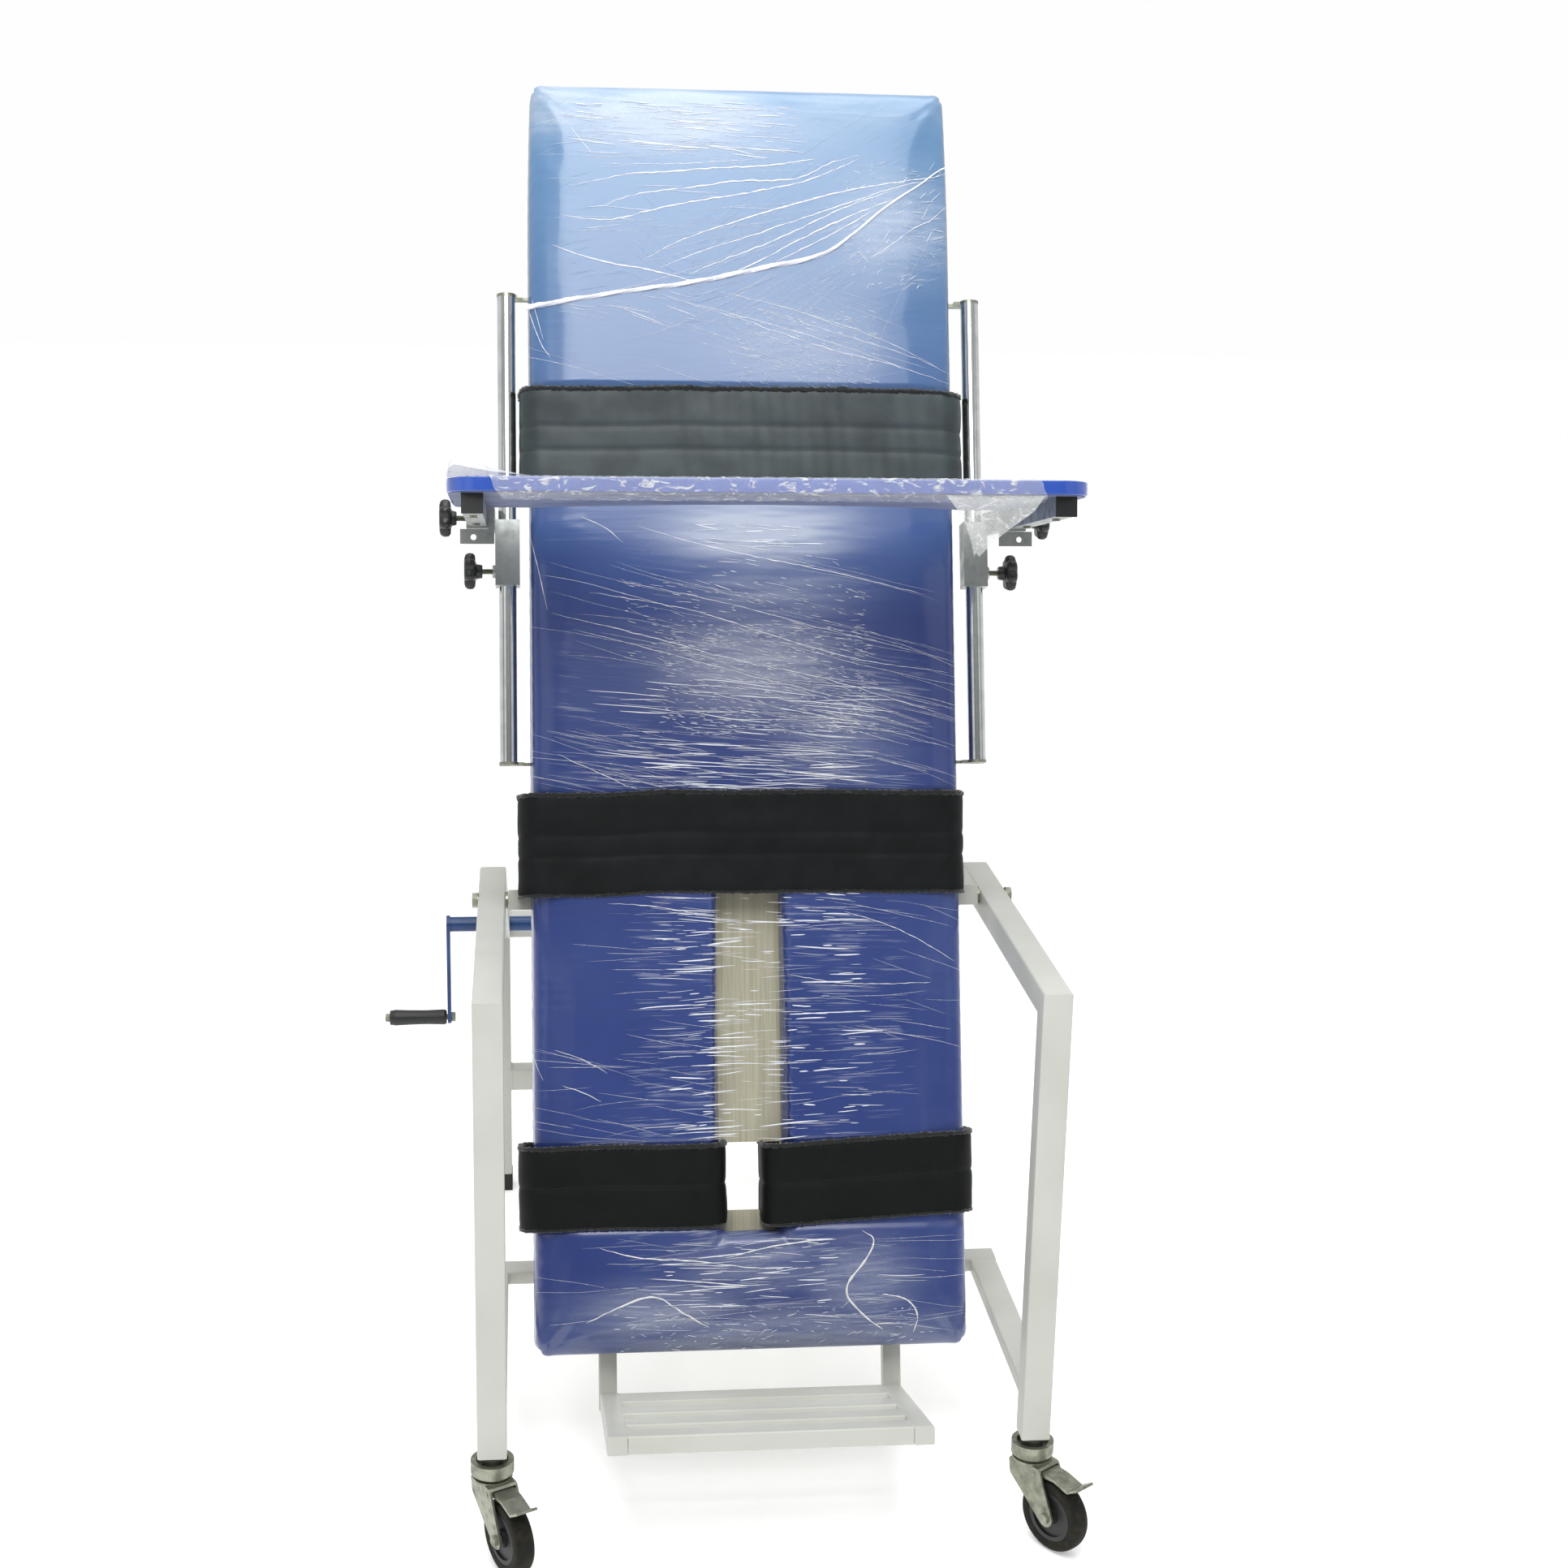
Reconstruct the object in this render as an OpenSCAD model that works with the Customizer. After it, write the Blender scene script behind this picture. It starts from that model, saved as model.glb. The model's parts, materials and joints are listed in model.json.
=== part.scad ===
// Hand-cranked tilt table for standing therapy: a padded board on a wheeled steel base, with
// body straps, a tray on chrome side rails and a footrest. Millimetres, +Z up, front towards -Y.
// The floor is z = 0. The sizes below are laid out from the front face of the front posts (y = 0)
// and the board's centre plane (x = 0); in_frame() moves the origin to the middle of the footprint.

/* [Base frame] */
// Side of the square tube of the base
tube = 38; // [30:1:45]
// Wall of the square tube
tube_wall = 2; // [1.5:0.5:3]
// Overall width over the two side frames
base_w = 749; // [740:1:800]
// Height of the top face of the top rails
rail_h = 769; // [740:1:800]
// Height of the lower ends of the front posts
post_foot = 148; // [146:1:150]
// Length of the top rails from the front face of the posts
top_rail_l = 580; // [560:5:620]
// Height of the top face of the lower side rails
low_rail_h = 219; // [200:1:240]
// Distance from the front to the rear face of the lower cross tube
low_rail_l = 429; // [415:1:432]
// Height of the flat lower cross tubes
cross_h = 20; // [18:1:25]
// Distance from the front to the front face of the rear legs
rear_leg_y = 1163; // [1130:1:1180]
// Height of the top of the rear legs
rear_leg_h = 507; // [500:1:515]
// Height of the top of the rear lower cross tube
rear_cross_h = 226; // [215:1:240]
// Height of the rubber feet
foot_h = 30; // [25:1:35]

/* [Board] */
// Lean of the board from the vertical
lean = 18.2; // [15:0.1:25]
// Distance of the pivot axis from the front
pivot_y = 450; // [445:1:455]
// Height of the pivot axis
pivot_z = 760; // [755:1:765]
// Width of the pad
pad_w = 610; // [600:5:612]
// Pad from the pivot axis to the head end
head_l = 1154; // [1100:1:1200]
// Pad from the pivot axis to the foot end
foot_l = 630; // [610:1:640]
// Side of the square tube under the board
frame_tube = 28; // [28:1:30]
// Thickness of the plywood
ply_t = 12; // [12:1:15]
// Thickness of the pad
pad_t = 46; // [40:1:50]
// Width of the channel between the legs
slot_w = 88; // [80:2:100]

/* [Straps] */
// Thickness of the padded straps
strap_t = 8; // [6:1:9]
// Width of the body straps
body_strap_w = 136; // [120:2:140]
// Width of the leg straps
leg_strap_w = 112; // [100:2:114]

/* [Side rails and tray] */
// Diameter of the chrome side rails
rail_d = 25.4; // [22:0.2:26]
// Half distance between the side rails
rail_x = 330.5; // [330:0.5:334]
// Lower end of the side rails, up the board from the pivot
rail_lo = 191; // [180:1:200]
// Upper end of the side rails
rail_hi = 847; // [800:1:860]
// Fall of the tray arms below the square line out of the board
arm_fall = 6.7; // [0:0.1:10]
// Place of the tray along the rails
tray_at = 528.7; // [500:1:560]
// Half distance between the tray arms
arm_x = 370; // [369:0.5:374]
// Side of the tray arms
arm = 25; // [20:1:25]
// Reach of the tray arms out of the side rails
arm_reach = 426; // [400:1:450]
// Width of the tray
tray_w = 804; // [780:2:820]
// Depth of the tray at its ends
tray_d = 320; // [300:5:340]
// Thickness of the tray
tray_t = 18; // [16:1:20]

/* [Footrest] */
// Top face of the footrest below the pivot, along the board
step_at = 684.6; // [680:1:700]
// Width of the footrest
step_w = 420; // [400:5:440]
// Depth of the footrest
step_d = 290; // [270:5:310]
// Height of the footrest bars
step_t = 24; // [20:1:25]
// Half distance between the footrest stems
stem_x = 199; // [190:1:205]

/* [Crank and jack] */
// Distance of the crank shaft from the front
shaft_y = 1094; // [1090:1:1098]
// Height of the crank shaft
shaft_z = 517; // [515:1:519]
// Diameter of the crank shaft
shaft_d = 25; // [22:1:26]
// Throw of the crank arm
crank_throw = 165; // [140:5:180]
// Length of the crank grip
grip_l = 96; // [90:1:100]
// Jack lug below the pivot, along the board
lug_down = 60; // [50:1:70]
// Jack lug behind the pivot, square to the board
lug_back = 60; // [55:1:70]

/* [Casters] */
// Diameter of the caster wheels
wheel_d = 100; // [98:1:102]
// Width of the caster wheels
wheel_w = 27; // [24:1:28]
// Offset of the wheel axle from the swivel axis
trail = 45; // [40:1:48]
// Swivel of the left caster, from straight forward towards +X
swivel_left = 28; // [0:1:90]
// Swivel of the right caster
swivel_right = 36; // [0:1:90]

/* [Hidden] */
$fn = 48;
side_x = base_w / 2 - tube / 2;
tray_end = tray_w / 2;
grip_x0 = -436;
grip_end = grip_x0 - grip_l - 15;
right_end = arm_x + 57;
front_end = -76;
origin_x = (grip_end + right_end) / 2;
origin_y = (rear_leg_y + tube + front_end) / 2;
ply_w = pad_w - 10;
ply_y = -frame_tube / 2;
pad_y = ply_y - ply_t;
pad_front = pad_y - pad_t;
rail_n = 40;
pedal_y = -22;
pedal_z = 104;
sleeve = 34;
clear = 0.2;
slot_top = 60;
slot_bottom = -464;
opening_top = -348;
opening_bottom = -444;
strap_back = 25;
slope_drop = (rail_h - rear_leg_h) / (rear_leg_y - top_rail_l);
slope_h = tube * sqrt(1 + slope_drop * slope_drop);
lug_y = pivot_y + lug_back * cos(lean) - lug_down * sin(lean);
lug_z = pivot_z - lug_down * cos(lean) - lug_back * sin(lean);
jack_l = norm([lug_y - shaft_y, lug_z - shaft_z]);
jack_angle = atan2(shaft_y - lug_y, lug_z - shaft_z);
jack_r = 24;
ram_r = 15;
screw_r = 8;
screw_lo = 62;
screw_hi = 470;
bevel_near = 20;
bevel_far = 30;
bevel_w = bevel_far - bevel_near;
jack_foot = 54;
outer_tube_l = 430;
nut_at = 300;
nut_l = 36;
eye_plug = 24;
arm_sleeve_y = 75;
arm_sleeve_l = 64;
knob_r = 26;
knob_head = 15;
height_knob_at = 458;
slider_lo = 437;
slider_l = 92;
stem = 25;
stem_l = 260;
step_bar = 27;
// The footrest's cross bars: place from its front edge and width.
step_slats = [[0, 45], [73, 45], [148, 45], [230, 60]];
step_knob_at = -500;
cream = [0.84, 0.85, 0.80];

// ---- placing -------------------------------------------------------------------------------

// Everything is laid out from the posts and the centre plane, then moved to the footprint's middle.
module in_frame() { translate([-origin_x, -origin_y, 0]) children(); }

// On the board: z runs up the board from the pivot axis and y runs out of its back.
module on_board() { in_frame() translate([0, pivot_y, pivot_z]) rotate([-lean, 0, 0]) children(); }

// From the board to the tray arms: -y runs out along the arms, z is square to the tray.
module at_arms() { translate([0, -rail_n, tray_at]) rotate([arm_fall, 0, 0]) children(); }
module on_arms() { on_board() at_arms() children(); }

// On the jack: z runs from the crank shaft to the board's lug.
module on_jack() { in_frame() translate([0, shaft_y, shaft_z]) rotate([jack_angle, 0, 0]) children(); }

// On a caster: z = 0 is the floor, and the wheel trails towards -y.
module on_caster(side) {
    in_frame() translate([side * side_x, tube / 2, 0])
        rotate([0, 0, side < 0 ? swivel_left : swivel_right]) children();
}

module left_side() { mirror([1, 0, 0]) children(); }
module both_sides() { children(); left_side() children(); }
module along_x() { rotate([0, 90, 0]) children(); }
module along_y() { rotate([-90, 0, 0]) children(); }

// ---- shapes --------------------------------------------------------------------------------

// An open rectangular tube along z from z = 0, centred on the z axis.
module box_tube(w, d, l, wall) {
    linear_extrude(l) difference() {
        square([w, d], center = true);
        square([w - 2 * wall, d - 2 * wall], center = true);
    }
}

// A round tube along z from z = 0.
module round_tube(r, bore_r, l) {
    difference() {
        cylinder(r = r, h = l);
        translate([0, 0, -1]) cylinder(r = bore_r, h = l + 2);
    }
}

// A hexagon head or nut along z, w across its flats.
module hex(w, h) { cylinder(d = w / cos(30), h = h, $fn = 6); }

// A lobed clamping knob along z: stud, hub and head.
module knob(stud_l, hub_l, r) {
    cylinder(r = 4, h = stud_l);
    translate([0, 0, stud_l]) cylinder(r1 = 9, r2 = 11, h = hub_l);
    translate([0, 0, stud_l + hub_l]) linear_extrude(knob_head) knob_outline(r);
}

module knob_outline(r) {
    lobe_r = r * 0.3;
    circle(r * 0.8);
    for (a = [0 : 6]) rotate(a * 360 / 7 + 7) translate([r - lobe_r, 0]) circle(lobe_r, $fn = 24);
}

// A padded band that loops round the board from x0 to x1, between two heights up the board.
module band(x0, x1, lo, hi, back) {
    difference() {
        band_block(x0, x1, lo, hi, back, 0);
        band_block(x0, x1, lo - 1, hi + 1, back, strap_t);
    }
}

module band_block(x0, x1, lo, hi, back, inset) {
    front = pad_front - 2 - strap_t;
    r = 14 - inset;
    translate([0, 0, lo]) linear_extrude(hi - lo) hull()
        for (x = [x0 + inset + r, x1 - inset - r], y = [front + inset + r, back - inset - r])
            translate([x, y]) circle(r, $fn = 32);
}

// ---- base ----------------------------------------------------------------------------------

// The front posts, mitred at the top where the top rails run back.
module front_posts() color(cream) in_frame() both_sides() translate([side_x, tube / 2, 0])
    difference() {
        translate([0, 0, post_foot]) box_tube(tube, tube, rail_h - post_foot, tube_wall);
        translate([-tube, -tube / 2, rail_h]) rotate([-45, 0, 0]) cube([2 * tube, 2 * tube, 2 * tube]);
    }

// The top rails, mitred to the posts, with a bore for the pivot bolt.
module top_rails() color(cream) in_frame() both_sides() translate([side_x, 0, rail_h - tube / 2])
    difference() {
        along_y() box_tube(tube, tube, top_rail_l, tube_wall);
        translate([-tube, 0, tube / 2]) rotate([-135, 0, 0]) cube([2 * tube, 2 * tube, 2 * tube]);
        translate([0, pivot_y, pivot_z - rail_h + tube / 2]) along_x()
            cylinder(r = 6.1, h = 2 * tube, center = true);
    }

// One side of a sloping rail, inset on all four sides of its section.
module slope_section(inset) {
    cut = inset * slope_h / tube;
    polygon([
        [top_rail_l - (inset > 0 ? 1 : 0), rail_h - cut + (inset > 0 ? slope_drop : 0)],
        [rear_leg_y + (inset > 0 ? 1 : 0), rear_leg_h - cut - (inset > 0 ? slope_drop : 0)],
        [rear_leg_y + (inset > 0 ? 1 : 0), rear_leg_h - slope_h + cut - (inset > 0 ? slope_drop : 0)],
        [top_rail_l - (inset > 0 ? 1 : 0), rail_h - slope_h + cut + (inset > 0 ? slope_drop : 0)]
    ]);
}

module slope_rail(bored) {
    translate([side_x, 0, 0]) rotate([90, 0, 90]) difference() {
        translate([0, 0, -tube / 2]) linear_extrude(tube) slope_section(0);
        translate([0, 0, -tube / 2 + tube_wall]) linear_extrude(tube - 2 * tube_wall)
            slope_section(tube_wall);
        if (bored) translate([shaft_y, shaft_z, 0])
            cylinder(r = shaft_d / 2 + 0.1, h = 2 * tube, center = true);
    }
}

// The rails that fall from the top rails to the rear legs; the left one carries the crank shaft.
module slope_rails() color(cream) in_frame() {
    slope_rail(false);
    mirror([1, 0, 0]) slope_rail(true);
}

module rear_legs() color(cream) in_frame() both_sides()
    translate([side_x, rear_leg_y + tube / 2, foot_h])
        box_tube(tube, tube, rear_leg_h - foot_h, tube_wall);

module lower_side_rails() color(cream) in_frame() both_sides()
    translate([side_x, tube, low_rail_h - cross_h / 2]) along_y()
        box_tube(tube, cross_h, low_rail_l - 2 * tube, tube_wall);

// The cross tubes: one closes the lower side rails, two join the rear legs.
module cross_tubes() color(cream) in_frame() {
    translate([-base_w / 2, low_rail_l - tube / 2, low_rail_h - cross_h / 2])
        along_x() box_tube(cross_h, tube, base_w, tube_wall);
    translate([-side_x + tube / 2, rear_leg_y + tube / 2, rear_leg_h - tube / 2])
        along_x() box_tube(tube, tube, 2 * side_x - tube, tube_wall);
    translate([-side_x + tube / 2, rear_leg_y + tube / 2, rear_cross_h - tube / 2])
        along_x() box_tube(tube, tube, 2 * side_x - tube, tube_wall);
}

// Two members that tie the lower cross tube to the rear legs behind the board.
module spine_tubes() color(cream) in_frame() for (x = [-150, 150])
    translate([x, low_rail_l, low_rail_h - cross_h / 2]) along_y()
        box_tube(tube, cross_h, rear_leg_y - low_rail_l, tube_wall);

module rear_feet() color("#1b1c1c") in_frame() both_sides()
    translate([side_x, rear_leg_y + tube / 2, 0]) {
        translate([-tube / 2 - 1, -tube / 2 - 1, 0]) cube([tube + 2, tube + 2, foot_h]);
        translate([-tube / 2 + 3, -tube / 2 + 3, foot_h]) cube([tube - 6, tube - 6, 12]);
    }

// Plastic plugs in the posts, bored for the caster stems.
module post_plugs() color("#26292a") in_frame() both_sides()
    translate([side_x, tube / 2, post_foot - 3]) difference() {
        union() {
            translate([-tube / 2 + 2, -tube / 2 + 2, 0]) cube([tube - 4, tube - 4, 3]);
            translate([-tube / 2 + 2.5, -tube / 2 + 2.5, 3]) cube([tube - 5, tube - 5, 45]);
        }
        translate([0, 0, -1]) cylinder(r = 8, h = 50);
    }

// The bolts that the board turns on, with a washer between each rail and the pivot tube.
module pivot_bolts() color("silver") in_frame() both_sides()
    translate([0, pivot_y, pivot_z]) along_x() {
        translate([0, 0, 308]) cylinder(r = 6, h = base_w / 2 - 308 + 1);
        translate([0, 0, base_w / 2]) cylinder(r = 11, h = 1.5);
        translate([0, 0, base_w / 2 + 1.5]) hex(19, 7);
        translate([0, 0, side_x - tube / 2 - 3.5]) round_tube(12, 6, 3.3);
    }

// Bearing plates that carry the crank shaft off the rear cross tube.
module crank_brackets() color(cream) in_frame() for (x = [-78, 72]) translate([x, 0, 0])
    rotate([90, 0, 90]) linear_extrude(6) difference() {
        hull() {
            translate([shaft_y, shaft_z]) circle(24);
            translate([rear_leg_y - 4, rear_leg_h - tube]) square([4, tube]);
        }
        translate([shaft_y, shaft_z]) circle(shaft_d / 2 + 0.1);
    }

// ---- casters -------------------------------------------------------------------------------

// The caster's bearing rings and stems, fixed in the posts.
module caster_heads() color("#a8a99c") for (side = [-1, 1]) on_caster(side) {
    translate([0, 0, 122]) round_tube(28, 21, 17);
    translate([0, 0, 122]) cylinder(r = 21.5, h = 8);
    translate([0, 0, 130]) cylinder(r = 14, h = post_foot - 3 - 130);
    translate([0, 0, 130]) cylinder(r = 7.9, h = 55);
}

// One cheek of a fork, as the outline seen from its side.
module cheek_outline() {
    hull() {
        translate([-trail, wheel_d / 2]) circle(12, $fn = 32);
        translate([-26, 108]) circle(6, $fn = 32);
        translate([16, 108]) circle(6, $fn = 32);
        translate([12, 94]) circle(8, $fn = 32);
    }
}

module caster_fork(side) color("#9a9b86") on_caster(side) {
    difference() {
        rotate([90, 0, 90]) translate([0, 0, -20]) linear_extrude(40) cheek_outline();
        translate([-17, -90, 20]) cube([34, 150, 91]);
        translate([0, -trail, wheel_d / 2]) along_x() cylinder(r = 5, h = 60, center = true);
        translate([0, pedal_y, pedal_z]) along_x() cylinder(r = 3.1, h = 60, center = true);
    }
    translate([0, 0, 113.6]) cylinder(r = 26, h = 3);
    translate([0, 0, 116.6]) cylinder(r = 22, h = 5);
}

module caster_axle(side) color("silver") on_caster(side) translate([0, -trail, wheel_d / 2])
    along_x() {
        cylinder(r = 4.9, h = 48, center = true);
        translate([0, 0, 20.2]) hex(13, 4);
        translate([0, 0, -24.2]) hex(13, 4);
    }

module caster_tyre(side) color("#2c2c28") on_caster(side) translate([0, -trail, wheel_d / 2])
    along_x() rotate_extrude($fn = 72) tyre_section();

// The tyre's section: a tread with round shoulders over the hub's rim.
module tyre_section() {
    difference() {
        union() {
            translate([34, -wheel_w / 2 + 1]) square([8, wheel_w - 2]);
            translate([wheel_d / 2 - 9, 0]) scale([1, 1.5]) circle(9);
        }
        translate([0, -wheel_w]) square([34, 2 * wheel_w]);
    }
}

module caster_hub(side) color("#5b5f60") on_caster(side) translate([0, -trail, wheel_d / 2])
    along_x() rotate_extrude($fn = 72) difference() {
        translate([5, -wheel_w / 2 + 1]) square([28.9, wheel_w - 2]);
        translate([12, wheel_w / 2 - 4]) square([16, 4]);
        translate([12, -wheel_w / 2]) square([16, 4]);
    }

// The brake pedal: a bent plate hinged across the fork above the wheel.
module brake_pedal(side) color("#b9bab0") on_caster(side) {
    translate([0, pedal_y, pedal_z]) along_x() cylinder(r = 3, h = 41, center = true);
    rotate([90, 0, 90]) translate([0, 0, -15]) linear_extrude(30)
        polygon([[-17, 110], [-17, 102], [-27, 102], [-52, 104], [-76, 97.5], [-95, 109],
            [-93, 112], [-76, 101], [-52, 107.5]]);
}

module caster_fork_left() caster_fork(-1);
module caster_fork_right() caster_fork(1);
module caster_axle_left() caster_axle(-1);
module caster_axle_right() caster_axle(1);
module caster_tyre_left() caster_tyre(-1);
module caster_tyre_right() caster_tyre(1);
module caster_hub_left() caster_hub(-1);
module caster_hub_right() caster_hub(1);
module brake_pedal_left() brake_pedal(-1);
module brake_pedal_right() brake_pedal(1);

// ---- crank and jack ------------------------------------------------------------------------

module crank_shaft() color("#2a6296") in_frame() translate([0, shaft_y, shaft_z]) along_x()
    translate([0, 0, grip_x0]) cylinder(r = shaft_d / 2, h = 90 - grip_x0);

// Bevel gear blank on the crank shaft, inside the gearbox.
module drive_bevel() color("#8d8f90") in_frame() translate([0, shaft_y, shaft_z]) along_x()
    difference() {
        translate([0, 0, -bevel_far]) cylinder(r1 = bevel_far - 1, r2 = bevel_near - 1, h = bevel_w);
        translate([0, 0, -bevel_far - 1]) cylinder(r = shaft_d / 2, h = bevel_w + 2);
    }

// The flat crank arm hangs from the shaft's end.
module crank_arm() color("#2a6296") in_frame() translate([grip_x0 - 6, shaft_y, shaft_z])
    along_x() linear_extrude(6) difference() {
        hull() {
            circle(15);
            translate([crank_throw, 0]) circle(11);
        }
        translate([crank_throw, 0]) circle(5);
    }

// The bolt that the grip turns on, with its nuts.
module grip_bolt() color("silver") in_frame()
    translate([grip_x0 - 6, shaft_y, shaft_z - crank_throw]) along_x() {
        translate([0, 0, -grip_l - 9]) cylinder(r = 4.9, h = grip_l + 22);
        translate([0, 0, 6]) hex(15, 7);
        translate([0, 0, -grip_l - 8]) hex(13, 6);
    }

module crank_grip() color("#201f1f") in_frame()
    translate([grip_x0 - 8, shaft_y, shaft_z - crank_throw]) along_x() rotate([180, 0, 0])
        rotate_extrude() polygon([[5, 0], [11, 0], [13, 4], [12, grip_l * 0.35],
            [12.5, grip_l * 0.65], [13.5, grip_l - 10], [12, grip_l - 1], [5, grip_l - 1]]);

// The gearbox rides on the crank shaft and swings as the board tilts.
module gearbox_housing() color("#b9bdb6") on_jack() difference() {
    union() {
        translate([-40, -36, -36]) cube([80, 72, 80]);
        translate([0, 0, 44]) cylinder(r = 30, h = jack_foot - 44);
    }
    translate([-36, -32, -32]) cube([80, 64, 72]);
    along_x() cylinder(r = shaft_d / 2 + 0.1, h = 100, center = true);
    translate([0, 0, 30]) cylinder(r = 10, h = 40);
}

module gearbox_cover() color("#a9ada6") on_jack() translate([40, 0, 0]) difference() {
    union() {
        translate([0, -36, -36]) cube([4, 72, 80]);
        for (y = [-29, 29], z = [-29, 37]) translate([4, y, z]) along_x() hex(8, 3);
    }
    along_x() cylinder(r = shaft_d / 2 + 0.1, h = 20, center = true);
}

module jack_outer_tube() color(cream) on_jack() translate([0, 0, jack_foot])
    round_tube(jack_r, jack_r - 3, outer_tube_l);

// Bevel gear blank on the foot of the screw, turned by the crank shaft's gear.
module screw_bevel() color("#8d8f90") on_jack() translate([0, 0, bevel_near])
    difference() {
        cylinder(r1 = bevel_near - 1, r2 = bevel_far - 1, h = bevel_w);
        translate([0, 0, -1]) cylinder(r = screw_r - 1, h = bevel_w + 2);
    }

module jack_screw() color("#9fa1a2") on_jack() {
    translate([0, 0, bevel_near]) cylinder(r = screw_r - 1, h = screw_lo - bevel_near);
    translate([0, 0, screw_lo]) cylinder(r = screw_r, h = screw_hi - screw_lo);
}

module jack_nut() color("#b8913f") on_jack() translate([0, 0, nut_at])
    round_tube(jack_r - 3.4, screw_r + 0.1, nut_l);

module jack_inner_tube() color("silver") on_jack() translate([0, 0, nut_at + nut_l])
    round_tube(ram_r, screw_r + 3, jack_l - nut_at - nut_l - eye_plug);

// The jack's end: a plug with an eye whose pin floats in the lug.
module jack_eye() color("#8d8f90") on_jack() {
    translate([0, 0, jack_l - eye_plug]) cylinder(r = ram_r, h = 12);
    translate([-8, -14, jack_l - 14]) cube([16, 28, 14]);
    translate([0, 0, jack_l]) along_x() cylinder(r = 14, h = 16, center = true);
    translate([0, 0, jack_l]) along_x() cylinder(r = 6, h = 62, center = true);
    for (x = [-30, 26.5]) translate([x, 0, jack_l]) along_x() cylinder(r = 30, h = 3.5);
}

// ---- board ---------------------------------------------------------------------------------

module board_side_tubes() color(cream) on_board() for (x = [-stem_x, stem_x])
    difference() {
        translate([x, 0, -foot_l + 20]) box_tube(frame_tube, frame_tube, head_l + foot_l - 80, 1.3);
        translate([x, 0, step_knob_at]) along_y() cylinder(r = 4.2, h = frame_tube);
    }

// The pivot tube runs out to the side frames; the others tie the side tubes together.
module board_cross_tubes() color(cream) on_board() {
    inner = stem_x - frame_tube / 2;
    for (z = [0, 560, head_l - 100]) translate([-inner, 0, z]) along_x()
        box_tube(frame_tube, frame_tube, 2 * inner, 1.3);
    both_sides() translate([stem_x + frame_tube / 2, 0, 0]) along_x()
        box_tube(frame_tube, frame_tube, side_x - tube / 2 - 4 - stem_x - frame_tube / 2, 1.3);
}

module pivot_bushes() color("#3a3d3e") on_board() both_sides()
    translate([side_x - tube / 2 - 40, 0, 0]) along_x() difference() {
        translate([-12.6, -12.6, 0]) cube([25.2, 25.2, 36]);
        translate([0, 0, -1]) cylinder(r = 6.1, h = 40);
    }

// Two cheeks behind the pivot tube that take the jack's floating pin.
module jack_lug() color(cream) on_board() for (x = [-22, 16]) translate([x, 0, 0])
    rotate([90, 0, 90]) linear_extrude(6) difference() {
        hull() {
            translate([lug_back, -lug_down]) circle(32);
            translate([frame_tube / 2, -frame_tube / 2]) square([4, frame_tube]);
        }
        translate([lug_back, -lug_down]) circle(24);
    }

module ply_board() color("#b3a988") on_board() difference() {
    translate([-ply_w / 2, pad_y, -foot_l + 5]) cube([ply_w, ply_t, head_l + foot_l - 10]);
    translate([-slot_w / 2, pad_y - 1, opening_bottom])
        cube([slot_w, ply_t + 2, opening_top - opening_bottom]);
}

// The pad: foam in vinyl, with round edges and the channel between the legs.
module pad() color("#4457a8") on_board() difference() {
    hull() for (x = [-1, 1], y = [pad_y - 12, pad_front + 12], z = [-foot_l + 12, head_l - 12])
        translate([x * (pad_w / 2 - 12), y, z]) sphere(r = 12, $fn = 32);
    translate([-slot_w / 2, pad_front - 5, slot_bottom]) cube([slot_w, pad_t + 10, slot_top - slot_bottom]);
}

module chest_strap() color("#2b2f30") on_board() band(-315.5, 315.5, 577, 577 + body_strap_w, strap_back);
module hip_strap() color("#1f2222") on_board() band(-321, 321, 16, 4 + body_strap_w, strap_back);

// A leg strap loops round one half of the board, through the opening between the legs.
module leg_strap(x0, x1) {
    mid = (opening_top + opening_bottom) / 2;
    band(x0, x1, mid - 43, mid + 43, strap_back);
    difference() {
        band(x0, x1, mid - leg_strap_w / 2, mid + leg_strap_w / 2, strap_back);
        translate([x0 - 1, pad_front + 5, mid - leg_strap_w]) cube([x1 - x0 + 2, 200, 2 * leg_strap_w]);
    }
}

module left_leg_strap() color("#191b1b") on_board() leg_strap(-322, -32);
module right_leg_strap() color("#191b1b") on_board() leg_strap(12, 322);

module chrome_rails() color("#d4d7d8") on_board() both_sides()
    translate([rail_x, -rail_n, rail_lo]) round_tube(rail_d / 2, rail_d / 2 - 1.5, rail_hi - rail_lo);

// Flat brackets that hold the rails' ends off the edges of the plywood.
module rail_brackets() color("#c9ccc8") on_board() both_sides()
    for (z = [rail_lo - 4, rail_hi]) translate([0, 0, z]) linear_extrude(4) {
        translate([ply_w / 2, pad_y]) square([rail_x - ply_w / 2, ply_t]);
        translate([pad_w / 2 + 4, -rail_n]) square([rail_x + 13 - pad_w / 2 - 4, rail_n + ply_y]);
        translate([rail_x, -rail_n]) circle(rail_d / 2 + 0.5);
    }

// ---- tray ----------------------------------------------------------------------------------

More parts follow.
